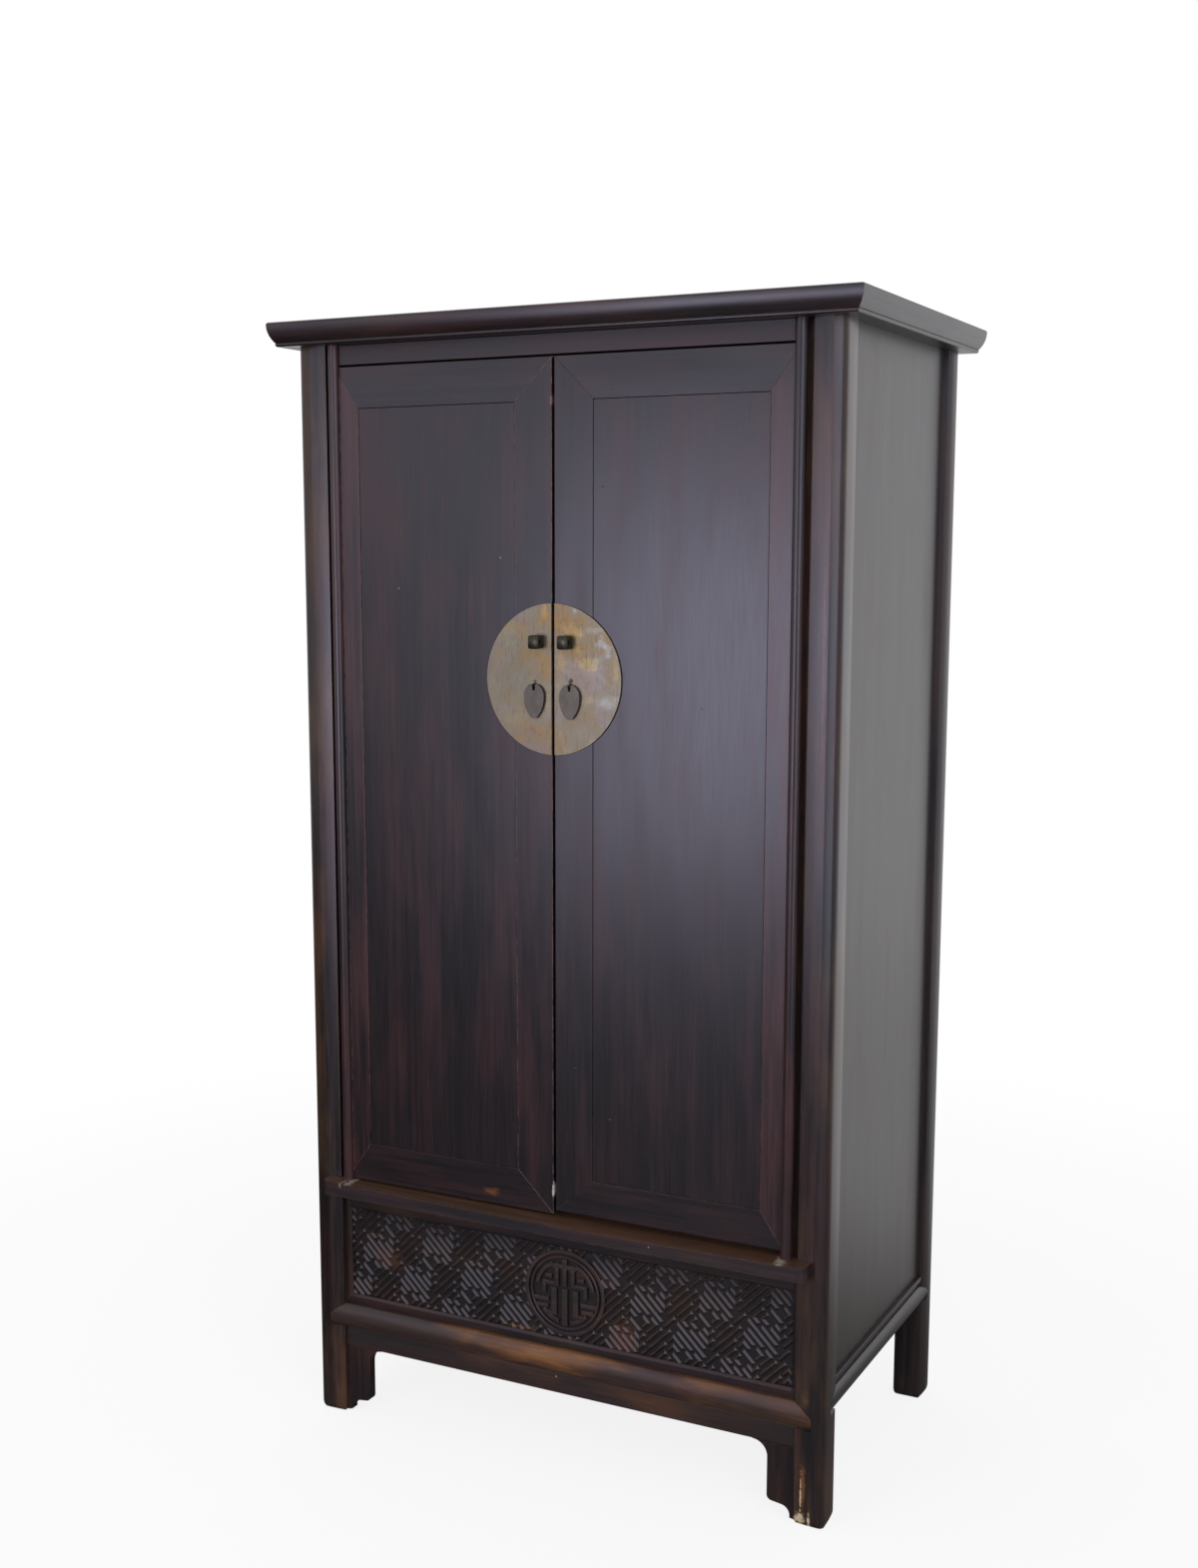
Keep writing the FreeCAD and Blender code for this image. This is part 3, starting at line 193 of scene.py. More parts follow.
def lacquerWood(name, grain, **changes):
    look = {**lacquerLook, **changes}
    material, add = newMaterial(name)
    where = add("TexCoord").outputs["Object"]
    parts = add("SeparateXYZ", {"Vector": where})
    shift = [step * len(name) for step in look["nameShift"]]
    grained = add("Mapping", grainInputs(where, grain, look["stretch"], shift))
    hairs = add("TexNoise", noiseInputs(grained, look["hairMm"], *look["hairNoise"]))
    bands = add("TexNoise", noiseInputs(grained, look["bandMm"], *look["hairNoise"]))
    cloudSpace = add("Mapping", grainInputs(where, grain, look["cloudStretch"], shift))
    clouds = add("TexNoise", noiseInputs(cloudSpace, look["cloudMm"], *look["cloudNoise"]))
    waveSpace = add("Mapping", grainInputs(where, grain, look["waveStretch"], shift))
    swells = add("TexNoise", noiseInputs(waveSpace, look["waveMm"], detail=1))
    ragged = add("TexNoise", noiseInputs(where, look["raggedMm"], *marks["ragged"]))

    thin = add("Math.ADD", (add("Math.MULTIPLY", (clouds, look["cloudShare"])),
                            add("Math.MULTIPLY", (bands, look["bandShare"]))))
    spread = look["thinReach"] * look["thinShare"]
    thin = add("MapRange", (thin, *[edge - spread for edge in look["thinRange"]]))
    plain = add("MapRange", (bands, *look["streakRange"]))
    skin = add("Mix", {0: plain, 6: look["streak"], 7: look["lacquer"]})
    bare = add("Math.MULTIPLY", (thin, look["thinStrength"]))
    skin = add("Mix", {0: bare, 6: skin, 7: look["ground"]})
    tone = add("ValToRGB", {"Fac": hairs}, stops=look["hairTones"])
    skin = add("Mix", {0: 1.0, 6: skin, 7: tone}, blend_type="MULTIPLY")

    if look["wear"]:
        patchMm = look["cloudMm"] * look["patchGrowth"]
        patches = add("TexNoise", noiseInputs(cloudSpace, patchMm, *look["patchNoise"]))
        patches = add("MapRange", (patches, *look["patchRange"]))
        worn = add("Math.MULTIPLY", (patches, look["wear"]))
        if look["topWear"]:
            normal = add("NewGeometry").outputs["Normal"]
            upward = add("SeparateXYZ", {"Vector": normal}).outputs["Z"]
            level = add("Math.MULTIPLY", (add("MapRange", (upward, *look["upRange"])),
                                          add("MapRange", (bands, *look["topBands"]))))
            worn = add("Math.MAXIMUM", (worn, add("Math.MULTIPLY", (level, look["topWear"]))))
        if look["wearEnds"]:
            fromX, toX = [end * mm for end in look["wearEnds"]]
            fading = add("MapRange", (parts.outputs["X"], fromX, toX, 1.0, look["wearLeft"]))
            worn = add("Math.MULTIPLY", (worn, fading))
        timber = add("Mix", {0: 1.0, 6: look["wood"], 7: tone}, blend_type="MULTIPLY")
        skin = add("Mix", {0: worn, 6: skin, 7: timber})
    # painted shade: the carved ground and the lower flanks of the ribs are painted darker with
    # depth, standing in for the shade in the recesses
    if look["dirt"] is not None:
        above, under = [look["dirt"] - reach * mm for reach in look["recessShadeMm"]]
        sunk = add("MapRange", (parts.outputs["Y"], above, under))
        sunk = add("Math.MULTIPLY", (sunk, look["recessShadeStrength"]))
        skin = add("Mix", {0: sunk, 6: skin, 7: look["soot"]})

    edge = edgeMask(add, where, look["edgeMm"])
    rubbed = add("Math.MULTIPLY", (edge, look["edgeWear"]), use_clamp=True)
    skin = add("Mix", {0: rubbed, 6: skin, 7: look["wood"]})

    # short dents across the grain, some with a dark bruise
    dentSpace = add("Mapping", {"Vector": where, "Scale": (1, 1, look["dentSquash"]),
                                "Rotation": (0, look["dentTurn"], 0)})
    dent = scattered(add, dentSpace, look["dentMm"], look["dentRim"], look["dentPick"])
    bruised = add("Math.MULTIPLY", (dent, look["dentShade"]))
    skin = add("Mix", {0: bruised, 6: skin, 7: look["bruise"]})

    if look["specks"]:
        dots = scattered(add, where, look["speckMm"], look["speckRim"], look["speckPick"])
        dots = add("Math.MULTIPLY", (dots, look["specks"]))
        skin = add("Mix", {0: dots, 6: skin, 7: look["pale"]})
    for x, z, wide, tall, color in look["spots"]:
        spot = spotMask(add, parts, ragged, x, z, wide, tall)
        skin = add("Mix", {0: spot, 6: skin, 7: color})

    rough = look["roughness"] - look["hairRough"] / 2
    rough = add("Math.ADD", (rough, add("Math.MULTIPLY", (hairs, look["hairRough"]))))
    rough = add("Math.ADD", (rough, add("Math.MULTIPLY", (thin, look["thinRough"]))))
    worn = add("Math.MULTIPLY", (edge, look["edgeRough"]))
    rough = add("Math.ADD", (rough, worn), use_clamp=True)
    height = add("Math.MULTIPLY", (hairs, look["bumpMm"] * mm))
    height = add("Math.ADD", (height, add("Math.MULTIPLY", (swells, look["swellMm"] * mm))))
    height = add("Math.SUBTRACT", (height, add("Math.MULTIPLY", (dent, look["dentDeepMm"] * mm))))
    if look["crown"]:
        for axis, middle in zip("XY", look["crown"]):
            off = add("Math.SUBTRACT", (add("Math.ABSOLUTE", (parts.outputs[axis],)), middle))
            fall = add("Math.MULTIPLY", (add("Math.MULTIPLY", (off, off)), look["crownSlope"] / 2))
            height = add("Math.SUBTRACT", (height, fall))
            if look["shoulder"] and axis == "X":
                start, slope, more = look["shoulder"]
                over = add("Math.MAXIMUM", (add("Math.SUBTRACT", (off, start * mm)), 0.0))
                steep = add("Math.ADD", (slope, add("Math.MULTIPLY", (over, more / 2))))
                height = add("Math.SUBTRACT", (height, add("Math.MULTIPLY", (over, steep))))
    if look["lean"]:
        height = add("Math.ADD", (height, add("Math.MULTIPLY", (parts.outputs["X"], look["lean"]))))
    bump = add("Bump", {"Height": height, "Distance": 1.0, "Strength": 1.0})
    shader = add("BsdfPrincipled", {"Base Color": skin, "Roughness": rough, "Normal": bump,
                                    "IOR": look["ior"], "Specular Tint": look["mirrorTint"]})
    add("OutputMaterial", {"Surface": shader})
    return material


# Bare elm and camphor boards, planed by hand and never lacquered: dry and brown, with plain rings.
bareLook = {
    "dark": "#3b281b", "light": "#6a4b33", "joint": "#1c130d",
    "stretch": 30, "shift": (0.3, 1.7, 0.9),
    "ringMm": 26, "ringNoise": (5, 0.62),       # detail, roughness
    "ringStops": ((0.3, "dark"), (0.5, "light"), (0.62, "dark"), (0.75, "light")),
    "poreMm": 2.2, "poreTones": ((0.35, 0.6), (0.6, 1.1)),
    "boardMm": 268, "boardTone": 0.4, "jointMm": 3.0,
    "poreDeepMm": 0.2, "bumpStrength": 0.8, "roughness": 0.56, "poreRough": 0.25,
}


def bareWood(name, grain):
    material, add = newMaterial(name)
    where = add("TexCoord").outputs["Object"]
    space = add("Mapping", grainInputs(where, grain, bareLook["stretch"], bareLook["shift"]))
    rings = add("TexNoise", noiseInputs(space, bareLook["ringMm"], *bareLook["ringNoise"]))
    pores = add("TexNoise", noiseInputs(space, bareLook["poreMm"]))
    ringStops = [(place, bareLook[tone]) for place, tone in bareLook["ringStops"]]
    color = add("ValToRGB", {"Fac": rings}, stops=ringStops)
    shade = add("ValToRGB", {"Fac": pores}, stops=bareLook["poreTones"])
    color = add("Mix", {0: 1.0, 6: color, 7: shade}, blend_type="MULTIPLY")
    if grain == "z":
        # the tall back is boards joined edge to edge: each has its own tone, and the joints are
        # drawn wider than they are, so that they show
        across = add("SeparateXYZ", {"Vector": where}).outputs["X"]
        place = add("Math.DIVIDE", (across, bareLook["boardMm"] * mm))
        place = add("Math.ADD", (place, 0.5))
        board = add("TexWhiteNoise", {"W": add("Math.FLOOR", (place,))}, noise_dimensions="1D")
        board = add("Math.MULTIPLY", (board, bareLook["boardTone"]))
        color = add("Mix", {0: board, 6: color, 7: bareLook["dark"]})
        fromMiddle = add("Math.SUBTRACT", (add("Math.FRACT", (place,)), 0.5))
        half = bareLook["jointMm"] / bareLook["boardMm"] / 2
        joint = add("MapRange", (add("Math.ABSOLUTE", (fromMiddle,)), 0.5 - 2 * half, 0.5 - half))
        color = add("Mix", {0: joint, 6: color, 7: bareLook["joint"]})
    bump = add("Bump", {"Height": pores, "Distance": bareLook["poreDeepMm"] * mm,
                        "Strength": bareLook["bumpStrength"]})
    rough = add("Math.MULTIPLY", (pores, bareLook["poreRough"]))
    rough = add("Math.ADD", (bareLook["roughness"], rough))
    shader = add("BsdfPrincipled", {"Base Color": color, "Roughness": rough, "Normal": bump})
    add("OutputMaterial", {"Surface": shader})
    return material


# Sheet of pale Chinese brass, beaten by hand and gone dull: grey-gold with soft orange and mauve
# clouds, bluish bloom towards the right rim, wiped streaks, fine pits and an uneven shine.
brassLook = {
    "gold": "#665f52", "orange": "#80643e", "mauve": "#695e5d", "bloom": "#959999",
    "bright": "#937c54", "dark": "#302b22",
    "cloudMm": 44, "cloudNoise": (5, 0.62), "bloomNoise": (6, 0.66),    # detail, roughness
    "orangeRange": (0.42, 0.72, 0.0, 0.85),
    "otherGrowth": 0.9, "otherShift": (3.1, 1.4, 0.7),
    "mauveRange": (0.48, 0.68, 0.0, 0.7), "brightRange": (0.26, 0.4, 0.45, 0.0),
    "bloomGrowth": 0.8, "bloomShift": (1.7, 5.2, 2.3), "bloomRange": (0.56, 0.68, 0.0),
    "bloomShare": 1.0, "bloomStrength": 0.75,
    "bloomSideMm": (-20, 115), "bloomSide": (-0.1, 0.07),    # more of it towards the right
    "wipeMm": 4, "wipeStretch": 0.15, "wipeRange": (0.5, 0.8, 0.0, 0.4),
    "pitMm": 4.5, "pitRim": (0.12, 0.3), "pitPick": (0.78, 0.84), "pitClouds": (0.5, 0.6),
    "pitStrength": 0.7,
    "edgeMm": 0.8, "nickMm": 9, "edgeStrength": 0.45,
    "raggedMm": 9,
    "spots": (),                # (x, z, wide, tall, colour, strength) of single clouds, and on the plate one painted highlight
    "dome": None,               # (x, z) in mm of the middle of a boss, on either side
    "domeSlope": 60.0,          # how fast its face falls away from there, for each metre
    "swellMm": 0.9, "wipeDeepMm": 0.03, "bumpStrength": 0.6,
    "roughness": 0.44, "cloudRough": 0.3, "metallic": 0.65,
}


def agedBrass(name, **changes):
    look = {**brassLook, **changes}
    material, add = newMaterial(name)
    where = add("TexCoord").outputs["Object"]
    parts = add("SeparateXYZ", {"Vector": where})
    clouds = add("TexNoise", noiseInputs(where, look["cloudMm"], *look["cloudNoise"]))
    moved = add("Mapping", {"Vector": where, "Location": look["otherShift"]})
    otherMm = look["cloudMm"] * look["otherGrowth"]
    others = add("TexNoise", noiseInputs(moved, otherMm, *look["cloudNoise"]))
    moved = add("Mapping", {"Vector": where, "Location": look["bloomShift"]})
    bloomMm = look["cloudMm"] * look["bloomGrowth"]
    blooms = add("TexNoise", noiseInputs(moved, bloomMm, *look["bloomNoise"]))
    wiped = add("Mapping", {"Vector": where, "Scale": (1, 1, look["wipeStretch"])})
    wipes = add("TexNoise", noiseInputs(wiped, look["wipeMm"]))

    color = look["gold"]
    for noise, tint in ((clouds, "orange"), (others, "mauve"), (others, "bright")):
        cloud = add("MapRange", (noise, *look[tint + "Range"]))
        color = add("Mix", {0: cloud, 6: color, 7: look[tint]})
    leftEnd, rightEnd = [end * mm for end in look["bloomSideMm"]]
    toRight = add("MapRange", (parts.outputs["X"], leftEnd, rightEnd, *look["bloomSide"]))
    bloom = add("MapRange", (add("Math.ADD", (blooms, toRight)), *look["bloomRange"],
                             look["bloomStrength"] * look["bloomShare"]))
    color = add("Mix", {0: bloom, 6: color, 7: look["bloom"]})
    ragged = add("TexNoise", noiseInputs(where, look["raggedMm"], *marks["ragged"]))
    for x, z, wide, tall, tint, strength in look["spots"]:
        cloud = add("Math.MULTIPLY", (spotMask(add, parts, ragged, x, z, wide, tall), strength))
        color = add("Mix", {0: cloud, 6: color, 7: tint})
    pits = scattered(add, where, look["pitMm"], look["pitRim"], look["pitPick"])
    pits = add("Math.MULTIPLY", (pits, add("MapRange", (clouds, *look["pitClouds"]))))
    edge = edgeMask(add, where, look["edgeMm"], look["nickMm"])
    for mark in (add("MapRange", (wipes, *look["wipeRange"])),
                 add("Math.MULTIPLY", (pits, look["pitStrength"])),
                 add("Math.MULTIPLY", (edge, look["edgeStrength"]))):
        color = add("Mix", {0: mark, 6: color, 7: look["dark"]})

    rough = add("Math.ADD", (look["roughness"] - look["cloudRough"] / 2,
                             add("Math.MULTIPLY", (clouds, look["cloudRough"]))))
    height = add("Math.ADD", (add("Math.MULTIPLY", (clouds, look["swellMm"] * mm)),
                              add("Math.MULTIPLY", (wipes, look["wipeDeepMm"] * mm))))
    if look["dome"]:
        domeX, domeZ = [place * mm for place in look["dome"]]
        across = add("Math.SUBTRACT", (add("Math.ABSOLUTE", (parts.outputs["X"],)), domeX))
        upward = add("Math.SUBTRACT", (parts.outputs["Z"], domeZ))
        away = add("Math.ADD", (add("Math.MULTIPLY", (across, across)),
                                add("Math.MULTIPLY", (upward, upward))))
        height = add("Math.SUBTRACT", (height, add("Math.MULTIPLY", (away, look["domeSlope"] / 2))))
    bump = add("Bump", {"Height": height, "Distance": 1.0, "Strength": look["bumpStrength"]})
    shader = add("BsdfPrincipled", {"Base Color": color, "Metallic": look["metallic"],
                                    "Roughness": rough, "Normal": bump})
    add("OutputMaterial", {"Surface": shader})
    return material


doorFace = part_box("lintel")[0].y
halfPost = 25 * mm
postMiddle = (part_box("front_right_post")[1].x - halfPost, -doorFace - halfPost)
backCrown = (postMiddle[0], postMiddle[1] + 18 * mm)    # flattest 18 mm behind its middle
carvedGroundY = doorFace + 20 * mm                      # the sunk ground behind the fret
paleChip = "#c9b795"                                    # bare wood where the foot is chipped
doorLean = 0.022                                        # slope of the left door's shine

finishes = {
    "postLacquer": lacquerWood("postLacquer", "z", edgeWear=0.35, thinShare=0.55, wear=0.3,
                               lacquer="#2d2523", crown=postMiddle, crownSlope=3.0,
                               shoulder=(4, 0.5, 12)),
    "backPostLacquer": lacquerWood("backPostLacquer", "z", edgeWear=0.35, thinShare=0.55,
                                   lacquer="#2c2523", crown=backCrown, crownSlope=11.0),
    "footLacquer": lacquerWood("footLacquer", "z", edgeWear=0.35, thinShare=0.55, wear=0.2,
                               lacquer="#231c1b", crown=postMiddle, crownSlope=2.0,
                               shoulder=(4, 0.5, 12),
                               spots=((429, 66, 6, 46, "#6b4429"), (426, 52, 2.0, 40, paleChip),
                                      (424, 12, 11, 12, paleChip), (440, 12, 3, 16, paleChip),
                                      (431, 208, 9, 16, "#4d3722"),
                                      (438, 1340, 2.5, 240, "#4a2c2a"))),
    "spandrelLacquer": lacquerWood("spandrelLacquer", "z", edgeWear=0.35, thinShare=0.5, wear=0.15),
    "pivotLacquer": lacquerWood("pivotLacquer", "z", thinShare=0.8, thinStrength=0.6, edgeWear=0.7,
                                lacquer="#2a1d1d", ground="#462827", wood="#94746a"),
    "leftDoorLacquer": lacquerWood("leftDoorLacquer", "z", specks=0.5, edgeWear=0.2, lean=doorLean,
                                   thinShare=0.55),
    "rightDoorLacquer": lacquerWood("rightDoorLacquer", "z", edgeWear=0.2, thinStrength=0.38,
                                    spots=((330, 1718, 5, 2.5, "#0c0909"),
                                           (262, 1716, 26, 1.6, "#5d4640"),
                                           (344, 885, 16, 1.5, "#141011"))),
    "leftRailLacquer": lacquerWood("leftRailLacquer", "x", specks=0.4, edgeWear=0.25, lean=doorLean,
                                   spots=((-118, 451, 20, 8, "#55301a"),
                                          (-120, 450, 10, 5, "#6e4122"))),
    "rightRailLacquer": lacquerWood("rightRailLacquer", "x", edgeWear=0.25),
    "wornStileLacquer": lacquerWood("wornStileLacquer", "z", edgeWear=1.0, thinShare=0.6,
                                    edgeMm=2.2, lean=doorLean, wood="#a5847c",
                                    spots=((-3, 1714, 3, 9, "#6b5550"),
                                           # painted light: the near-white fleck at the foot of the
                                           # door gap stands for the bright background seen through
                                           # the gap
                                           (-2, 471, 3.5, 15, "#e2dcd2"))),
    # painted sheen: the side panels get a lighter, greyer lacquer than the rest, which stands in
    # for part of their grazing shine
    "sideLacquer": lacquerWood("sideLacquer", "z", roughness=0.4, thinShare=0.15, lacquer="#332e2c",
                               streak="#292423"),
    "railLacquer": lacquerWood("railLacquer", "x", thinShare=0.5, wear=0.1),
    "lintelLacquer": lacquerWood("lintelLacquer", "x", thinShare=0.7, lacquer="#161112",
                                 roughness=0.42),
    "endLacquer": lacquerWood("endLacquer", "y", roughness=0.38, thinShare=0.25, lacquer="#2a2524"),
    "ledgeLacquer": lacquerWood("ledgeLacquer", "x", roughness=0.42, wear=0.2, topWear=0.55,
                                wood="#5c4129", edgeWear=1.0, edgeMm=3.0, specks=0.6,
                                spots=((-386, 428, 9, 2.5, "#8c8272"),
                                       (-399, 424, 3, 9, "#7d7468"),
                                       (393, 428, 12, 2.5, "#8c8272"))),
    "bottomRailLacquer": lacquerWood("bottomRailLacquer", "x", thinShare=0.7, wear=0.9,
                                     wood="#85582a", lacquer="#33241c", streak="#241a15",
                                     wearEnds=(220, 360), roughness=0.55, edgeWear=0.5, specks=0.7),
    "apronLacquer": lacquerWood("apronLacquer", "x", thinShare=0.6, wear=0.45, wood="#623f1c",
                                lacquer="#1a130e", streak="#120d0a",
                                wearEnds=(150, 300), roughness=0.5, edgeWear=0.4, specks=0.7),
    # painted shade: the carved ground behind the fret is painted darker with depth
    "carvedLacquer": lacquerWood("carvedLacquer", "x", roughness=0.4, stretch=8, thinShare=0.3,
                                 wear=0.35, lacquer="#2b2422", streak="#1f1a19", wood="#553a26",
                                 edgeWear=0.2, edgeMm=1.0, dirt=carvedGroundY,
                                 spots=((-77, 207, 46, 22, "#4e3018"),
                                        (116, 237, 30, 40, "#43291a"),
                                        (-330, 290, 40, 24, "#3d2618"),
                                        (60, 330, 60, 14, "#33221a"))),
    "bareBoardX": bareWood("bareBoardX", "x"),
    "bareBoardY": bareWood("bareBoardY", "y"),
    "bareBoardZ": bareWood("bareBoardZ", "z"),
    "plateBrass": agedBrass("plateBrass", bloomShare=0.2, spots=(
        (-62, 1300, 40, 62, "#605e51", 0.6), (-66, 1232, 34, 26, "#716651", 0.6),
        (-80, 1372, 24, 20, "#766a54", 0.6), (-14, 1394, 8, 13, "#917445", 0.6),
        (56, 1296, 52, 46, "#716a6c", 0.6), (88, 1240, 26, 34, "#6c6565", 0.6),
        (36, 1368, 22, 14, "#88744b", 0.7), (14, 1320, 12, 20, "#846f4b", 0.6),
        (60, 1318, 24, 13, "#968357", 0.6), (42, 1340, 12, 8, "#88764f", 0.7),
        (72, 1368, 20, 6, "#878a87", 0.35), (84, 1350, 13, 12, "#8f9398", 0.45),
        (94, 1338, 8, 12, "#8f9398", 0.4), (90, 1258, 15, 13, "#838788", 0.35),
        # painted highlight: the small pale fleck at (38, 1398) stands for a glint near the plate's
        # top
        (38, 1398, 5, 3, "#92938c", 0.4), (109, 1306, 7, 26, "#816d51", 0.7),
        (-31, 1289, 5, 6, "#1f2319", 0.9), (31, 1289, 5, 6, "#1f2319", 0.9))),
    "pullBrass": agedBrass("pullBrass", gold="#433f3b", orange="#483f35", mauve="#433d3f",
                           bright="#4f4940", bloomShare=0.2, cloudMm=20, roughness=0.42),
    "bossBronze": agedBrass("bossBronze", gold="#2b2b20", orange="#353222", mauve="#29281f",
                            bloom="#4c4d42", bright="#565340", dark="#12110c", roughness=0.34,
                            cloudMm=9, dome=(25, 1350)),
}
print("materials made:", len(finishes))


# Softened copies of the frame's nodes

softening = {
    # node: (finish, edge rounding in mm)
    "front_left_post": ("postLacquer", 1.5), "front_right_post": ("footLacquer", 1.5),
    "back_left_post": ("backPostLacquer", 1.5), "back_right_post": ("backPostLacquer", 1.5),
    "cap_front_rail": ("railLacquer", 1.0), "cap_back_rail": ("railLacquer", 1.0),
    "cap_left_end": ("endLacquer", 1.0), "cap_right_end": ("endLacquer", 1.0),
    "cap_panel": ("railLacquer", 0.6), "cap_batten": ("bareBoardY", 1.0),
    "lintel": ("lintelLacquer", 1.0), "ledge_rail": ("ledgeLacquer", 1.6),
    "front_bottom_rail": ("bottomRailLacquer", 1.5),
    "left_bottom_rail": ("endLacquer", 1.2), "right_bottom_rail": ("endLacquer", 1.2),
    "left_side_panel": ("sideLacquer", 0), "right_side_panel": ("sideLacquer", 0),
    "back_bottom_rail": ("railLacquer", 1.2), "back_middle_rail": ("bareBoardX", 1.2),
    "back_top_rail": ("bareBoardX", 1.2), "back_lower_panel": ("bareBoardX", 0),
    "back_upper_panel": ("bareBoardZ", 0),
    "front_apron": ("apronLacquer", 1.5), "left_spandrel": ("spandrelLacquer", 1.5),
    "right_spandrel": ("spandrelLacquer", 1.5),
    "frieze_bottom_strip": ("railLacquer", 0.8), "frieze_top_strip": ("railLacquer", 0.8),
    "frieze_left_strip": ("spandrelLacquer", 0.8), "frieze_right_strip": ("spandrelLacquer", 0.8),
    "bottom_board": ("bareBoardX", 0), "floor_board": ("bareBoardX", 1.0),
    "lower_shelf": ("bareBoardX", 1.2), "upper_shelf": ("bareBoardX", 1.2),
    "lower_left_bearer": ("bareBoardY", 1.0), "lower_right_bearer": ("bareBoardY", 1.0),
    "upper_left_bearer": ("bareBoardY", 1.0), "upper_right_bearer": ("bareBoardY", 1.0),
}
for side, stileFinish in (("left", "wornStileLacquer"), ("right", "rightDoorLacquer")):
    softening[side + "_door_panel"] = (side + "DoorLacquer", 0.5)
    softening[side + "_door_top_rail"] = (side + "RailLacquer", 0.7)
    softening[side + "_door_bottom_rail"] = (side + "RailLacquer", 0.7)
    softening[side + "_lock_stile"] = (stileFinish, 0.7)
    softening[side + "_pivot_stile"] = ("pivotLacquer", 0.7)
    softening[side + "_door_upper_batten"] = ("bareBoardX", 1.0)
    softening[side + "_door_lower_batten"] = ("bareBoardX", 1.0)
    softening[side + "_lock_plate"] = ("plateBrass", 0.4)
    softening[side + "_lock_boss"] = ("bossBronze", 1.6)
    softening[side + "_pull_eye"] = ("bossBronze", 0.4)
    softening[side + "_pull"] = ("pullBrass", 0.7)
record = frame["record"]
bodyOf = {name: body for body, names in record["behaviour"]["bodies"].items() for name in names}


def pieceName(node):
    first, *rest = node.split("_")
    return first + "".join(word.capitalize() for word in rest)


def makeMesh(bm, name):
    mesh = bpy.data.meshes.new(name)
    bm.to_mesh(mesh)
    bm.free()
    return mesh


def addPiece(bm, node, finish):
    # the piece that stands for a node, with weighed normals that keep big faces flat beside edges
    mesh = makeMesh(bm, pieceName(node))
    mesh.materials.append(finishes[finish])
    piece = bpy.data.objects.new(pieceName(node), mesh)
    bpy.context.scene.collection.objects.link(piece)
    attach(piece, bodyOf[node])
    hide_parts(node)
    weighed = piece.modifiers.new("weighedNormals", "WEIGHTED_NORMAL")
    weighed.keep_sharp = True
    return mesh


def shadeByAngle(bm, degrees):
    for face in bm.faces:
        face.smooth = True
    for edge in bm.edges:
        edge.smooth = len(edge.link_faces) == 2 and edge.calc_face_angle() < math.radians(degrees)


def cutAcross(bm, place, normal, clear=False):
    # a cut right through, which can clear what lies past it; gives the cut's own edges
    geom = bm.verts[:] + bm.edges[:] + bm.faces[:]
    cut = bmesh.ops.bisect_plane(bm, geom=geom, dist=1e-6, plane_co=place, plane_no=normal,
                                 clear_outer=clear)["geom_cut"]
    return [item for item in cut if isinstance(item, bmesh.types.BMEdge)]


def bevelEdges(bm, edges, offset, segments, clamp=True):
    bmesh.ops.bevel(bm, geom=edges, offset=offset, offset_type="OFFSET", affect="EDGES",
                    segments=segments, profile=0.5, material=-1, clamp_overlap=clamp)


# Shapes that use has changed: the ledge's front edge is trodden down in the middle, the right
# door's foot has been planed off so that it clears the ledge, and the posts' feet are rubbed round.
wear = {
    "ledgeMm": 6, "ledgeStationMm": 40, "ledgeTopMm": 5, "ledgeKeptMm": 1,
    "planedMm": 7, "planedReachMm": 3, "planed": ("right_door_bottom_rail", "right_lock_stile"),
    "footMm": 7, "footTallMm": 14, "footRings": 6,
}


def treadDown(bm):
    low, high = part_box("ledge_rail")
    wide = high.x - low.x
    stations = int(wide / (wear["ledgeStationMm"] * mm))
    for step in range(1, stations):
        cutAcross(bm, (low.x + wide * step / stations, 0, 0), (1, 0, 0))
    cutAcross(bm, (0, doorFace, 0), (0, 1, 0))
    top, front = high.z - wear["ledgeTopMm"] * mm, doorFace - wear["ledgeKeptMm"] * mm
    for vert in bm.verts:
        if vert.co.z > top and vert.co.y < front:
            outward = (doorFace - vert.co.y) / (doorFace - low.y)
            vert.co.z -= wear["ledgeMm"] * mm * outward * (1 - (2 * vert.co.x / wide) ** 2)


def planeFoot(bm):
    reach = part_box("right_door_bottom_rail")[0].z + wear["planedReachMm"] * mm
    for vert in bm.verts:
        if vert.co.z < reach:
            vert.co.z += wear["planedMm"] * mm


def rubFoot(bm, node):
    tall, deep = wear["footTallMm"] * mm, wear["footMm"] * mm
    for ring in range(1, wear["footRings"] + 1):
        cutAcross(bm, (0, 0, tall * ring / wear["footRings"]), (0, 0, 1))
    low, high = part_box(node)
    middle = [math.copysign(reach, corner) for reach, corner in zip(postMiddle, low + high)]
    for vert in bm.verts:
        if vert.co.z < tall:
            inset = deep * (1 - math.sqrt(1 - (1 - vert.co.z / tall) ** 2))
            for axis in (0, 1):
                off = vert.co[axis] - middle[axis]
                vert.co[axis] -= math.copysign(min(abs(off), inset * abs(off) / halfPost), off)


# How a node's copy is made: its flat faces joined, its long corners rounded, its shading split
softenLook = {"mergeMm": 0.01, "flatDegrees": 0.6, "cornerDegrees": 35, "shortest": 6,
              "shadeDegrees": 50}


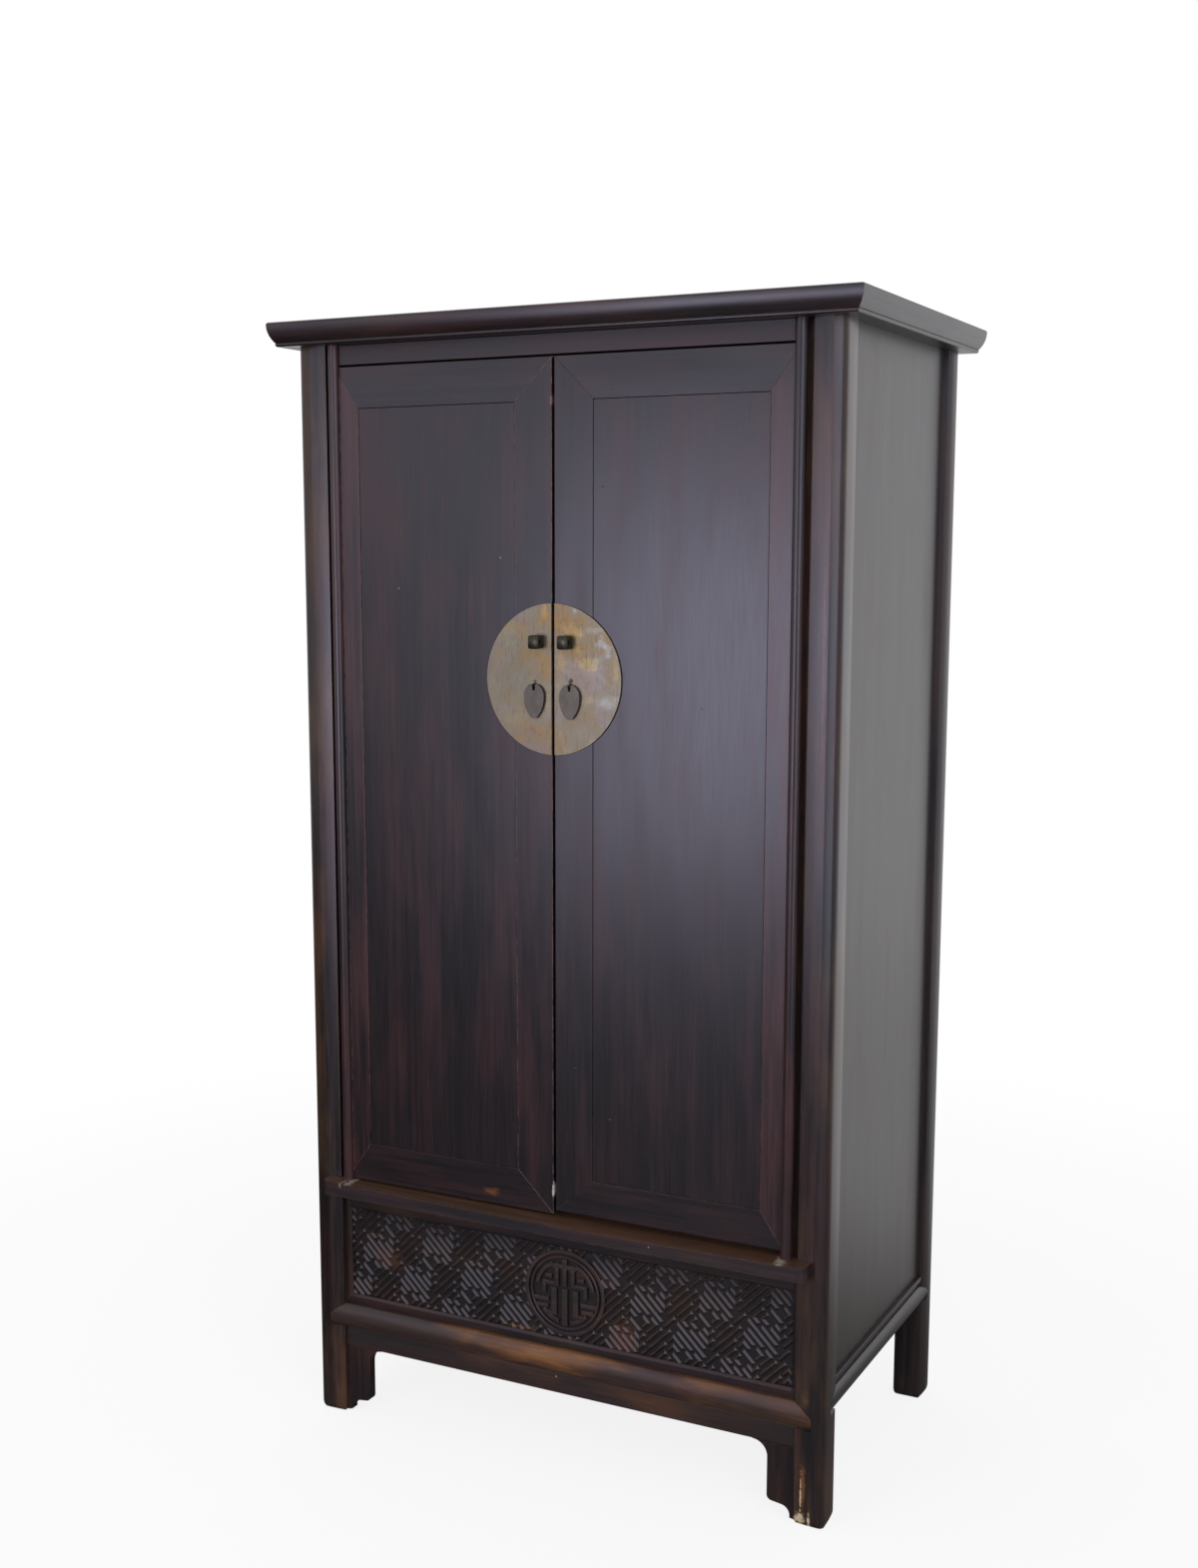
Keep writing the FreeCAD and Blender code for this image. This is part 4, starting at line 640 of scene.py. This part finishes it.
def softened(node, finish, roundingMm):
    bm = bmesh.new()
    bm.from_mesh(nodes[node].data)
    bmesh.ops.remove_doubles(bm, verts=bm.verts[:], dist=softenLook["mergeMm"] * mm)
    bmesh.ops.dissolve_limit(bm, angle_limit=math.radians(softenLook["flatDegrees"]),
                             verts=bm.verts[:], edges=bm.edges[:])
    if node.endswith("_post"):
        rubFoot(bm, node)
    if roundingMm:
        shortest = softenLook["shortest"] * roundingMm * mm
        corner = math.radians(softenLook["cornerDegrees"])
        edges = [edge for edge in bm.edges if len(edge.link_faces) == 2 and edge.is_convex
                 and edge.calc_face_angle() > corner and edge.calc_length() > shortest]
        bevelEdges(bm, edges, roundingMm * mm, 2)
    if node == "ledge_rail":
        treadDown(bm)
    if node in wear["planed"]:
        planeFoot(bm)
    shadeByAngle(bm, softenLook["shadeDegrees"])
    addPiece(bm, node, finish)


for node, (finish, roundingMm) in softening.items():
    softened(node, finish, roundingMm)
print("softened pieces:", len(softening))


# The carved frieze

frieze = {
    "pitchMm": 10.6, "ribMm": 7.2, "reliefMm": 4.0, "sinkMm": 0.5, "chamferMm": 3.2,
    "boardMm": 10, "sideStripMm": 11, "footStripMm": 16, "headStripMm": 33,
    "roundelMm": 73, "roundelShiftMm": 9, "roundelProudMm": 0.3, "roundelLapMm": 3.2,
    "cells": 36, "repeats": 9, "flatDegrees": 0.5, "rimRadians": 1, "shadeDegrees": 30,
    # the fret in lattice cells: the way from one cross to the next, then its strokes
    "repeat": ((2, 8), (-8, 2)),
    "crossStrokes": (((0, 2), (0, 5)),),
    "eyeCentre": (-3, 5),
    "eyeStrokes": (((3, 1), (3, 2), (1, 2)), ((2, 0), (2, 1), (1, 1))),
    "loneStrokes": (((1, 1), (1, 7)), ((-1, 1), (-7, 1)), ((-1, 0), (1, 0)), ((-3, 4), (-3, 6))),
}
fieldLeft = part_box("front_left_post")[0].x + 2 * halfPost + frieze["sideStripMm"] * mm
fieldRight = -fieldLeft
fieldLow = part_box("front_bottom_rail")[1].z + frieze["footStripMm"] * mm
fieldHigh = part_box("ledge_rail")[0].z - frieze["headStripMm"] * mm
fieldMiddle = (fieldLow + fieldHigh) / 2
ribTopY = carvedGroundY - frieze["reliefMm"] * mm
ribFootY = carvedGroundY + frieze["sinkMm"] * mm        # sunk a little into the board
roundelMiddle = Vector((frieze["roundelShiftMm"] * mm, 0, fieldMiddle))


def fretCells():
    # the lattice points and unit edges that the strokes cover, doubled so both are whole numbers
    strokes = [list(stroke) for stroke in frieze["loneStrokes"]]
    fourfold = (((0, 0), frieze["crossStrokes"]), (frieze["eyeCentre"], frieze["eyeStrokes"]))
    for centre, drawn in fourfold:
        for stroke in drawn:
            turned = list(stroke)
            for _ in range(4):
                strokes.append([(x + centre[0], y + centre[1]) for x, y in turned])
                turned = [(-y, x) for x, y in turned]
    covered = set()
    across, along = frieze["repeat"]
    repeats = range(-frieze["repeats"], frieze["repeats"] + 1)
    for column in repeats:
        for row in repeats:
            shiftX = column * across[0] + row * along[0]
            shiftY = column * across[1] + row * along[1]
            for stroke in strokes:
                for (x1, y1), (x2, y2) in zip(stroke, stroke[1:]):
                    steps = 2 * max(abs(x2 - x1), abs(y2 - y1))
                    for step in range(steps + 1):
                        covered.add((round(2 * (x1 + shiftX) + 2 * (x2 - x1) * step / steps),
                                     round(2 * (y1 + shiftY) + 2 * (y2 - y1) * step / steps)))
    return covered


def outsideField(face, spare):
    place = face.calc_center_median()
    return (abs(place.x) > fieldRight + spare
            or abs(place.z - fieldMiddle) > (fieldHigh - fieldLow) / 2 + spare)


def underRoundel(face):
    place = face.calc_center_median()
    reach = (frieze["roundelMm"] - frieze["roundelLapMm"]) * mm
    return (Vector((place.x, 0, place.z)) - roundelMiddle).length < reach


def carveFret(bm):
    pitch = frieze["pitchMm"] * mm
    half = frieze["ribMm"] / frieze["pitchMm"] / 2
    lines = 4 * frieze["cells"] + 1
    bmesh.ops.create_grid(bm, x_segments=lines, y_segments=lines, size=lines / 2)
    covered = fretCells()
    bare = []
    for face in bm.faces:
        middle = face.calc_center_median()
        if (round(middle.x), round(middle.y)) not in covered:
            bare.append(face)
    bmesh.ops.delete(bm, geom=bare, context="FACES")
    # whole numbers in the doubled lattice become rib widths, the odd ones the gaps between
    for vert in bm.verts:
        for axis in (0, 1):
            line = math.floor(vert.co[axis])
            vert.co[axis] = line / 2 + half if line % 2 == 0 else (line + 1) / 2 - half
    # the lattice is stood up on its corner, so that the strokes lean one way and the other
    lean = Matrix(((1, 1, 0, 0), (0, 0, -1, 0), (1, -1, 0, 0), (0, 0, 0, 1)))
    size = Matrix.Diagonal((pitch * math.sqrt(0.5),) * 3 + (1,))
    lift = Matrix.Translation((0, ribFootY, fieldMiddle))
    bmesh.ops.transform(bm, matrix=lift @ size @ lean, verts=bm.verts[:])
    far = [face for face in bm.faces if outsideField(face, 2 * pitch) or underRoundel(face)]
    bmesh.ops.delete(bm, geom=far, context="FACES")
    raised = bmesh.ops.extrude_face_region(bm, geom=bm.faces[:])["geom"]
    top = [item for item in raised if isinstance(item, bmesh.types.BMVert)]
    bmesh.ops.translate(bm, verts=top, vec=(0, ribTopY - ribFootY, 0))
    bmesh.ops.recalc_face_normals(bm, faces=bm.faces[:])
    bmesh.ops.dissolve_limit(bm, angle_limit=math.radians(frieze["flatDegrees"]),
                             verts=bm.verts[:], edges=bm.edges[:])
    rims = [edge for edge in bm.edges if len(edge.link_faces) == 2 and edge.is_convex
            and edge.calc_face_angle() > frieze["rimRadians"]
            and all(abs(vert.co.y - ribTopY) < 1e-6 for vert in edge.verts)]
    bevelEdges(bm, rims, frieze["chamferMm"] * mm, 1, clamp=False)
    for place, outward in (((fieldLeft, 0, 0), (-1, 0, 0)), ((fieldRight, 0, 0), (1, 0, 0)),
                           ((0, 0, fieldLow), (0, 0, -1)), ((0, 0, fieldHigh), (0, 0, 1))):
        bmesh.ops.holes_fill(bm, edges=cutAcross(bm, place, outward, clear=True), sides=0)


# Bars and arcs of the roundel as shares of its radius: plain geometry, mirrored left and right.
roundel = {
    "rings": ((1.0, 0.915), (0.86, 0.81)),
    "middleBars": ((-0.07, -0.78, 0.07, 0.08), (-0.06, 0.62, 0.06, 0.78), (-0.30, 0.55, 0.30, 0.65),
                   (-0.05, 0.14, 0.05, 0.55)),
    "sideBars": ((0.20, -0.56, 0.34, 0.08), (0.34, -0.56, 0.46, -0.47), (0.40, -0.26, 0.79, -0.17),
                 (0.42, -0.42, 0.72, -0.33), (0.15, 0.14, 0.25, 0.55), (0.25, 0.14, 0.56, 0.23),
                 (0.47, -0.07, 0.56, 0.14), (0.32, 0.30, 0.48, 0.39)),
    "arcs": ((0.66, 0.75, 12, 66), (0.66, 0.75, -78, -40)),
    "roundMm": 0.9, "ringSteps": 72, "stepDegrees": 6,
}
roundelTopY = ribTopY - frieze["roundelProudMm"] * mm


def spinBand(bm, inner, outer, start, turn):
    # a raised band with softened upper edges, spun about the roundel's middle
    lip = roundel["roundMm"] * mm
    outline = [(inner, ribFootY), (inner, roundelTopY + lip), (inner + lip, roundelTopY),
               (outer - lip, roundelTopY), (outer, roundelTopY + lip), (outer, ribFootY)]
    angle = math.radians(start)
    verts = []
    for reach, y in outline:
        x = roundelMiddle.x + reach * math.cos(angle)
        verts.append(bm.verts.new((x, y, roundelMiddle.z + reach * math.sin(angle))))
    edges = [bm.edges.new((a, b)) for a, b in zip(verts, verts[1:] + verts[:1])]
    full = abs(turn) >= 360
    caps = [] if full else [bm.faces.new(verts)]
    steps = roundel["ringSteps"] if full else max(4, int(abs(turn) / roundel["stepDegrees"]))
    bmesh.ops.spin(bm, geom=verts + edges + caps, cent=roundelMiddle, axis=(0, -1, 0),
                   dvec=(0, 0, 0), angle=math.radians(turn), steps=steps, use_merge=full)


def carveBar(bm, left, under, right, over):
    box = bmesh.ops.create_cube(bm, size=1.0)["verts"]
    bmesh.ops.scale(bm, vec=(right - left, ribFootY - roundelTopY, over - under), verts=box)
    bmesh.ops.translate(bm, vec=roundelMiddle + Vector(((left + right) / 2,
                                                        (ribFootY + roundelTopY) / 2,
                                                        (under + over) / 2)), verts=box)
    rims = {edge for vert in box for edge in vert.link_edges
            if all(abs(end.co.y - roundelTopY) < 1e-6 for end in edge.verts)}
    bevelEdges(bm, list(rims), roundel["roundMm"] * mm, 2)


def carveRoundel(bm):
    radius = frieze["roundelMm"] * mm
    for outer, inner in roundel["rings"]:
        spinBand(bm, inner * radius, outer * radius, 0, 360)
    for bar in roundel["middleBars"]:
        carveBar(bm, *[share * radius for share in bar])
    for bar in roundel["sideBars"]:
        left, under, right, over = [share * radius for share in bar]
        carveBar(bm, left, under, right, over)
        carveBar(bm, -right, under, -left, over)
    for inner, outer, start, end in roundel["arcs"]:
        spinBand(bm, inner * radius, outer * radius, start, end - start)
        spinBand(bm, inner * radius, outer * radius, 180 - start, start - end)


def buildFrieze():
    bm = bmesh.new()
    carveFret(bm)
    carveRoundel(bm)
    low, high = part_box("carved_frieze")
    board = bmesh.ops.create_cube(bm, size=1.0)["verts"]
    thick = frieze["boardMm"] * mm
    bmesh.ops.scale(bm, vec=(high.x - low.x, thick, high.z - low.z), verts=board)
    middle = ((low.x + high.x) / 2, carvedGroundY + thick / 2, (low.z + high.z) / 2)
    bmesh.ops.translate(bm, vec=middle, verts=board)
    bmesh.ops.recalc_face_normals(bm, faces=bm.faces[:])
    shadeByAngle(bm, frieze["shadeDegrees"])
    mesh = addPiece(bm, "carved_frieze", "carvedLacquer")
    print("carved frieze faces:", len(mesh.polygons))


buildFrieze()


# Floor, light and camera

studio = {
    "paperSeen": "#f7f6f4",            # the floor as the camera sees it
    "whiteRoundCabinet": (0.9, 2.6),   # metres from the cabinet where it turns white to the camera
    "paper": "#98958f",                # the floor as the lacquer mirrors it,
    "paperLeft": "#45433f",            # darker out to the left
    "leftAcross": (-1.4, 0.1),
    "roomMiddle": (-1.5, -3.0, 0),     # white far from here
    "whiteInLacquer": (4.5, 10.0),
    "whiteBehind": (0.35, 1.35),       # and close behind the cabinet
    "veil": 0.85,                      # how white the paper is beside the cabinet, to the camera
    "skyLevel": 0.48,                  # the world as it lights the cabinet
    "floorReach": 40, "floorCells": 8,
}
# (place, aimed at, width, height, watts, colour) of each lamp
lamps = {
    "windowLight": ((-0.92, -3.3, 1.08), (0.1, -0.28, 1.2), 1.0, 1.25, 34, "#f6f2ff"),
    "skylight": ((2.5, -2.9, 3.1), (0.1, -0.27, 0.5), 3.0, 2.6, 50, "#f4f6ff"),
    "rightWindow": ((3.0, -2.9, 1.05), (0.4, -0.28, 1.0), 0.9, 1.9, 30, "#eef6ff"),
    "backCard": ((2.2, 3.4, 1.35), (0.5, 0.1, 1.2), 3.0, 2.7, 12, "#ffffff"),
    "topSoftbox": ((-0.6, 0.4, 4.2), (0, 0, 1.8), 2.5, 2.5, 30, "#ffffff"),
    "leftWindow": ((-2.5, -3.1, 1.95), (-0.3, -0.28, 1.7), 1.4, 0.7, 3.5, "#f6f2ff"),
}
# the photograph's place, turn and framing, worked out from the cabinet's edges in it
view = {"place": (1.34349, -2.80351, 1.4862), "yaw": 0.47348, "pitch": -0.15034, "lens": 42.55,
        "sensor": 36, "shiftX": 0.0109, "shiftY": 0.0313, "nearest": 0.05, "farthest": 200}


def buildFloor():
    bm = bmesh.new()
    bmesh.ops.create_grid(bm, x_segments=studio["floorCells"], y_segments=studio["floorCells"],
                          size=studio["floorReach"])
    mesh = makeMesh(bm, "studioFloor")
    floor = bpy.data.objects.new("studioFloor", mesh)
    bpy.context.scene.collection.objects.link(floor)
    material, add = newMaterial("paperFloor")
    where = add("TexCoord").outputs["Object"]
    rays = add("LightPath")
    camera = rays.outputs["Is Camera Ray"]
    mirrored = add("Math.MAXIMUM", (rays.outputs["Is Glossy Ray"],
                                    rays.outputs["Is Transmission Ray"]))
    away = add("VectorMath.LENGTH", (where,)).outputs["Value"]
    seenWhite = add("MapRange", (away, *studio["whiteRoundCabinet"], studio["veil"], 1.0))
    away = add("VectorMath.DISTANCE", (where, studio["roomMiddle"]))
    parts = add("SeparateXYZ", {"Vector": where})
    farWhite = add("MapRange", (away.outputs["Value"], *studio["whiteInLacquer"]))
    behindWhite = add("MapRange", (parts.outputs["Y"], *studio["whiteBehind"]))
    mirroredWhite = add("Math.MAXIMUM", (farWhite, behindWhite))
    across = add("MapRange", (parts.outputs["X"], *studio["leftAcross"]))
    paper = add("Mix", {0: across, 6: studio["paperLeft"], 7: studio["paper"]})
    paper = add("Mix", {0: camera, 6: paper, 7: studio["paperSeen"]})
    white = add("Math.MAXIMUM", (add("Math.MULTIPLY", (seenWhite, camera)),
                                 add("Math.MULTIPLY", (mirroredWhite, mirrored))))
    paint = add("BsdfDiffuse", {"Color": paper})
    glow = add("Emission", {"Color": "#ffffff", "Strength": 1.0})
    add("OutputMaterial", {"Surface": add("MixShader", {0: white, 1: paint, 2: glow})})
    mesh.materials.append(material)


def buildWorld():
    world = bpy.data.worlds.new("studioWorld")
    bpy.context.scene.world = world
    world.use_nodes = True
    world.node_tree.nodes.clear()
    add = partial(addNode, world.node_tree)
    rays = add("LightPath")
    seen = add("Math.MAXIMUM", (rays.outputs["Is Camera Ray"], rays.outputs["Is Glossy Ray"]))
    seen = add("Math.MAXIMUM", (seen, rays.outputs["Is Transmission Ray"]))
    level = add("MapRange", (seen, 0.0, 1.0, studio["skyLevel"], 1.0), interpolation_type="LINEAR")
    sky = add("Background", {"Color": "#ffffff", "Strength": level})
    add("OutputWorld", {"Surface": sky})


def addLamp(name, place, target, width, height, watts, color):
    light = bpy.data.lights.new(name, "AREA")
    light.shape = "RECTANGLE"
    light.size = width
    light.size_y = height
    light.energy = watts
    light.color = toLinear(color)[:3]
    lamp = bpy.data.objects.new(name, light)
    lamp.location = place
    lamp.rotation_euler = (Vector(target) - Vector(place)).to_track_quat("-Z", "Y").to_euler()
    bpy.context.scene.collection.objects.link(lamp)


def buildCamera():
    camera = bpy.data.cameras.new("photoCamera")
    camera.sensor_width = view["sensor"]
    camera.lens = view["lens"]
    camera.shift_x = view["shiftX"]
    camera.shift_y = view["shiftY"]
    camera.clip_start = view["nearest"]
    camera.clip_end = view["farthest"]
    holder = bpy.data.objects.new("photoCamera", camera)
    holder.location = view["place"]
    holder.rotation_euler = (math.pi / 2 + view["pitch"], 0, view["yaw"])
    bpy.context.scene.collection.objects.link(holder)
    bpy.context.scene.camera = holder


buildFloor()
buildWorld()
for name, settings in lamps.items():
    addLamp(name, *settings)
buildCamera()
bpy.context.scene.view_settings.view_transform = "Standard"
print("stage, lights and camera ready")
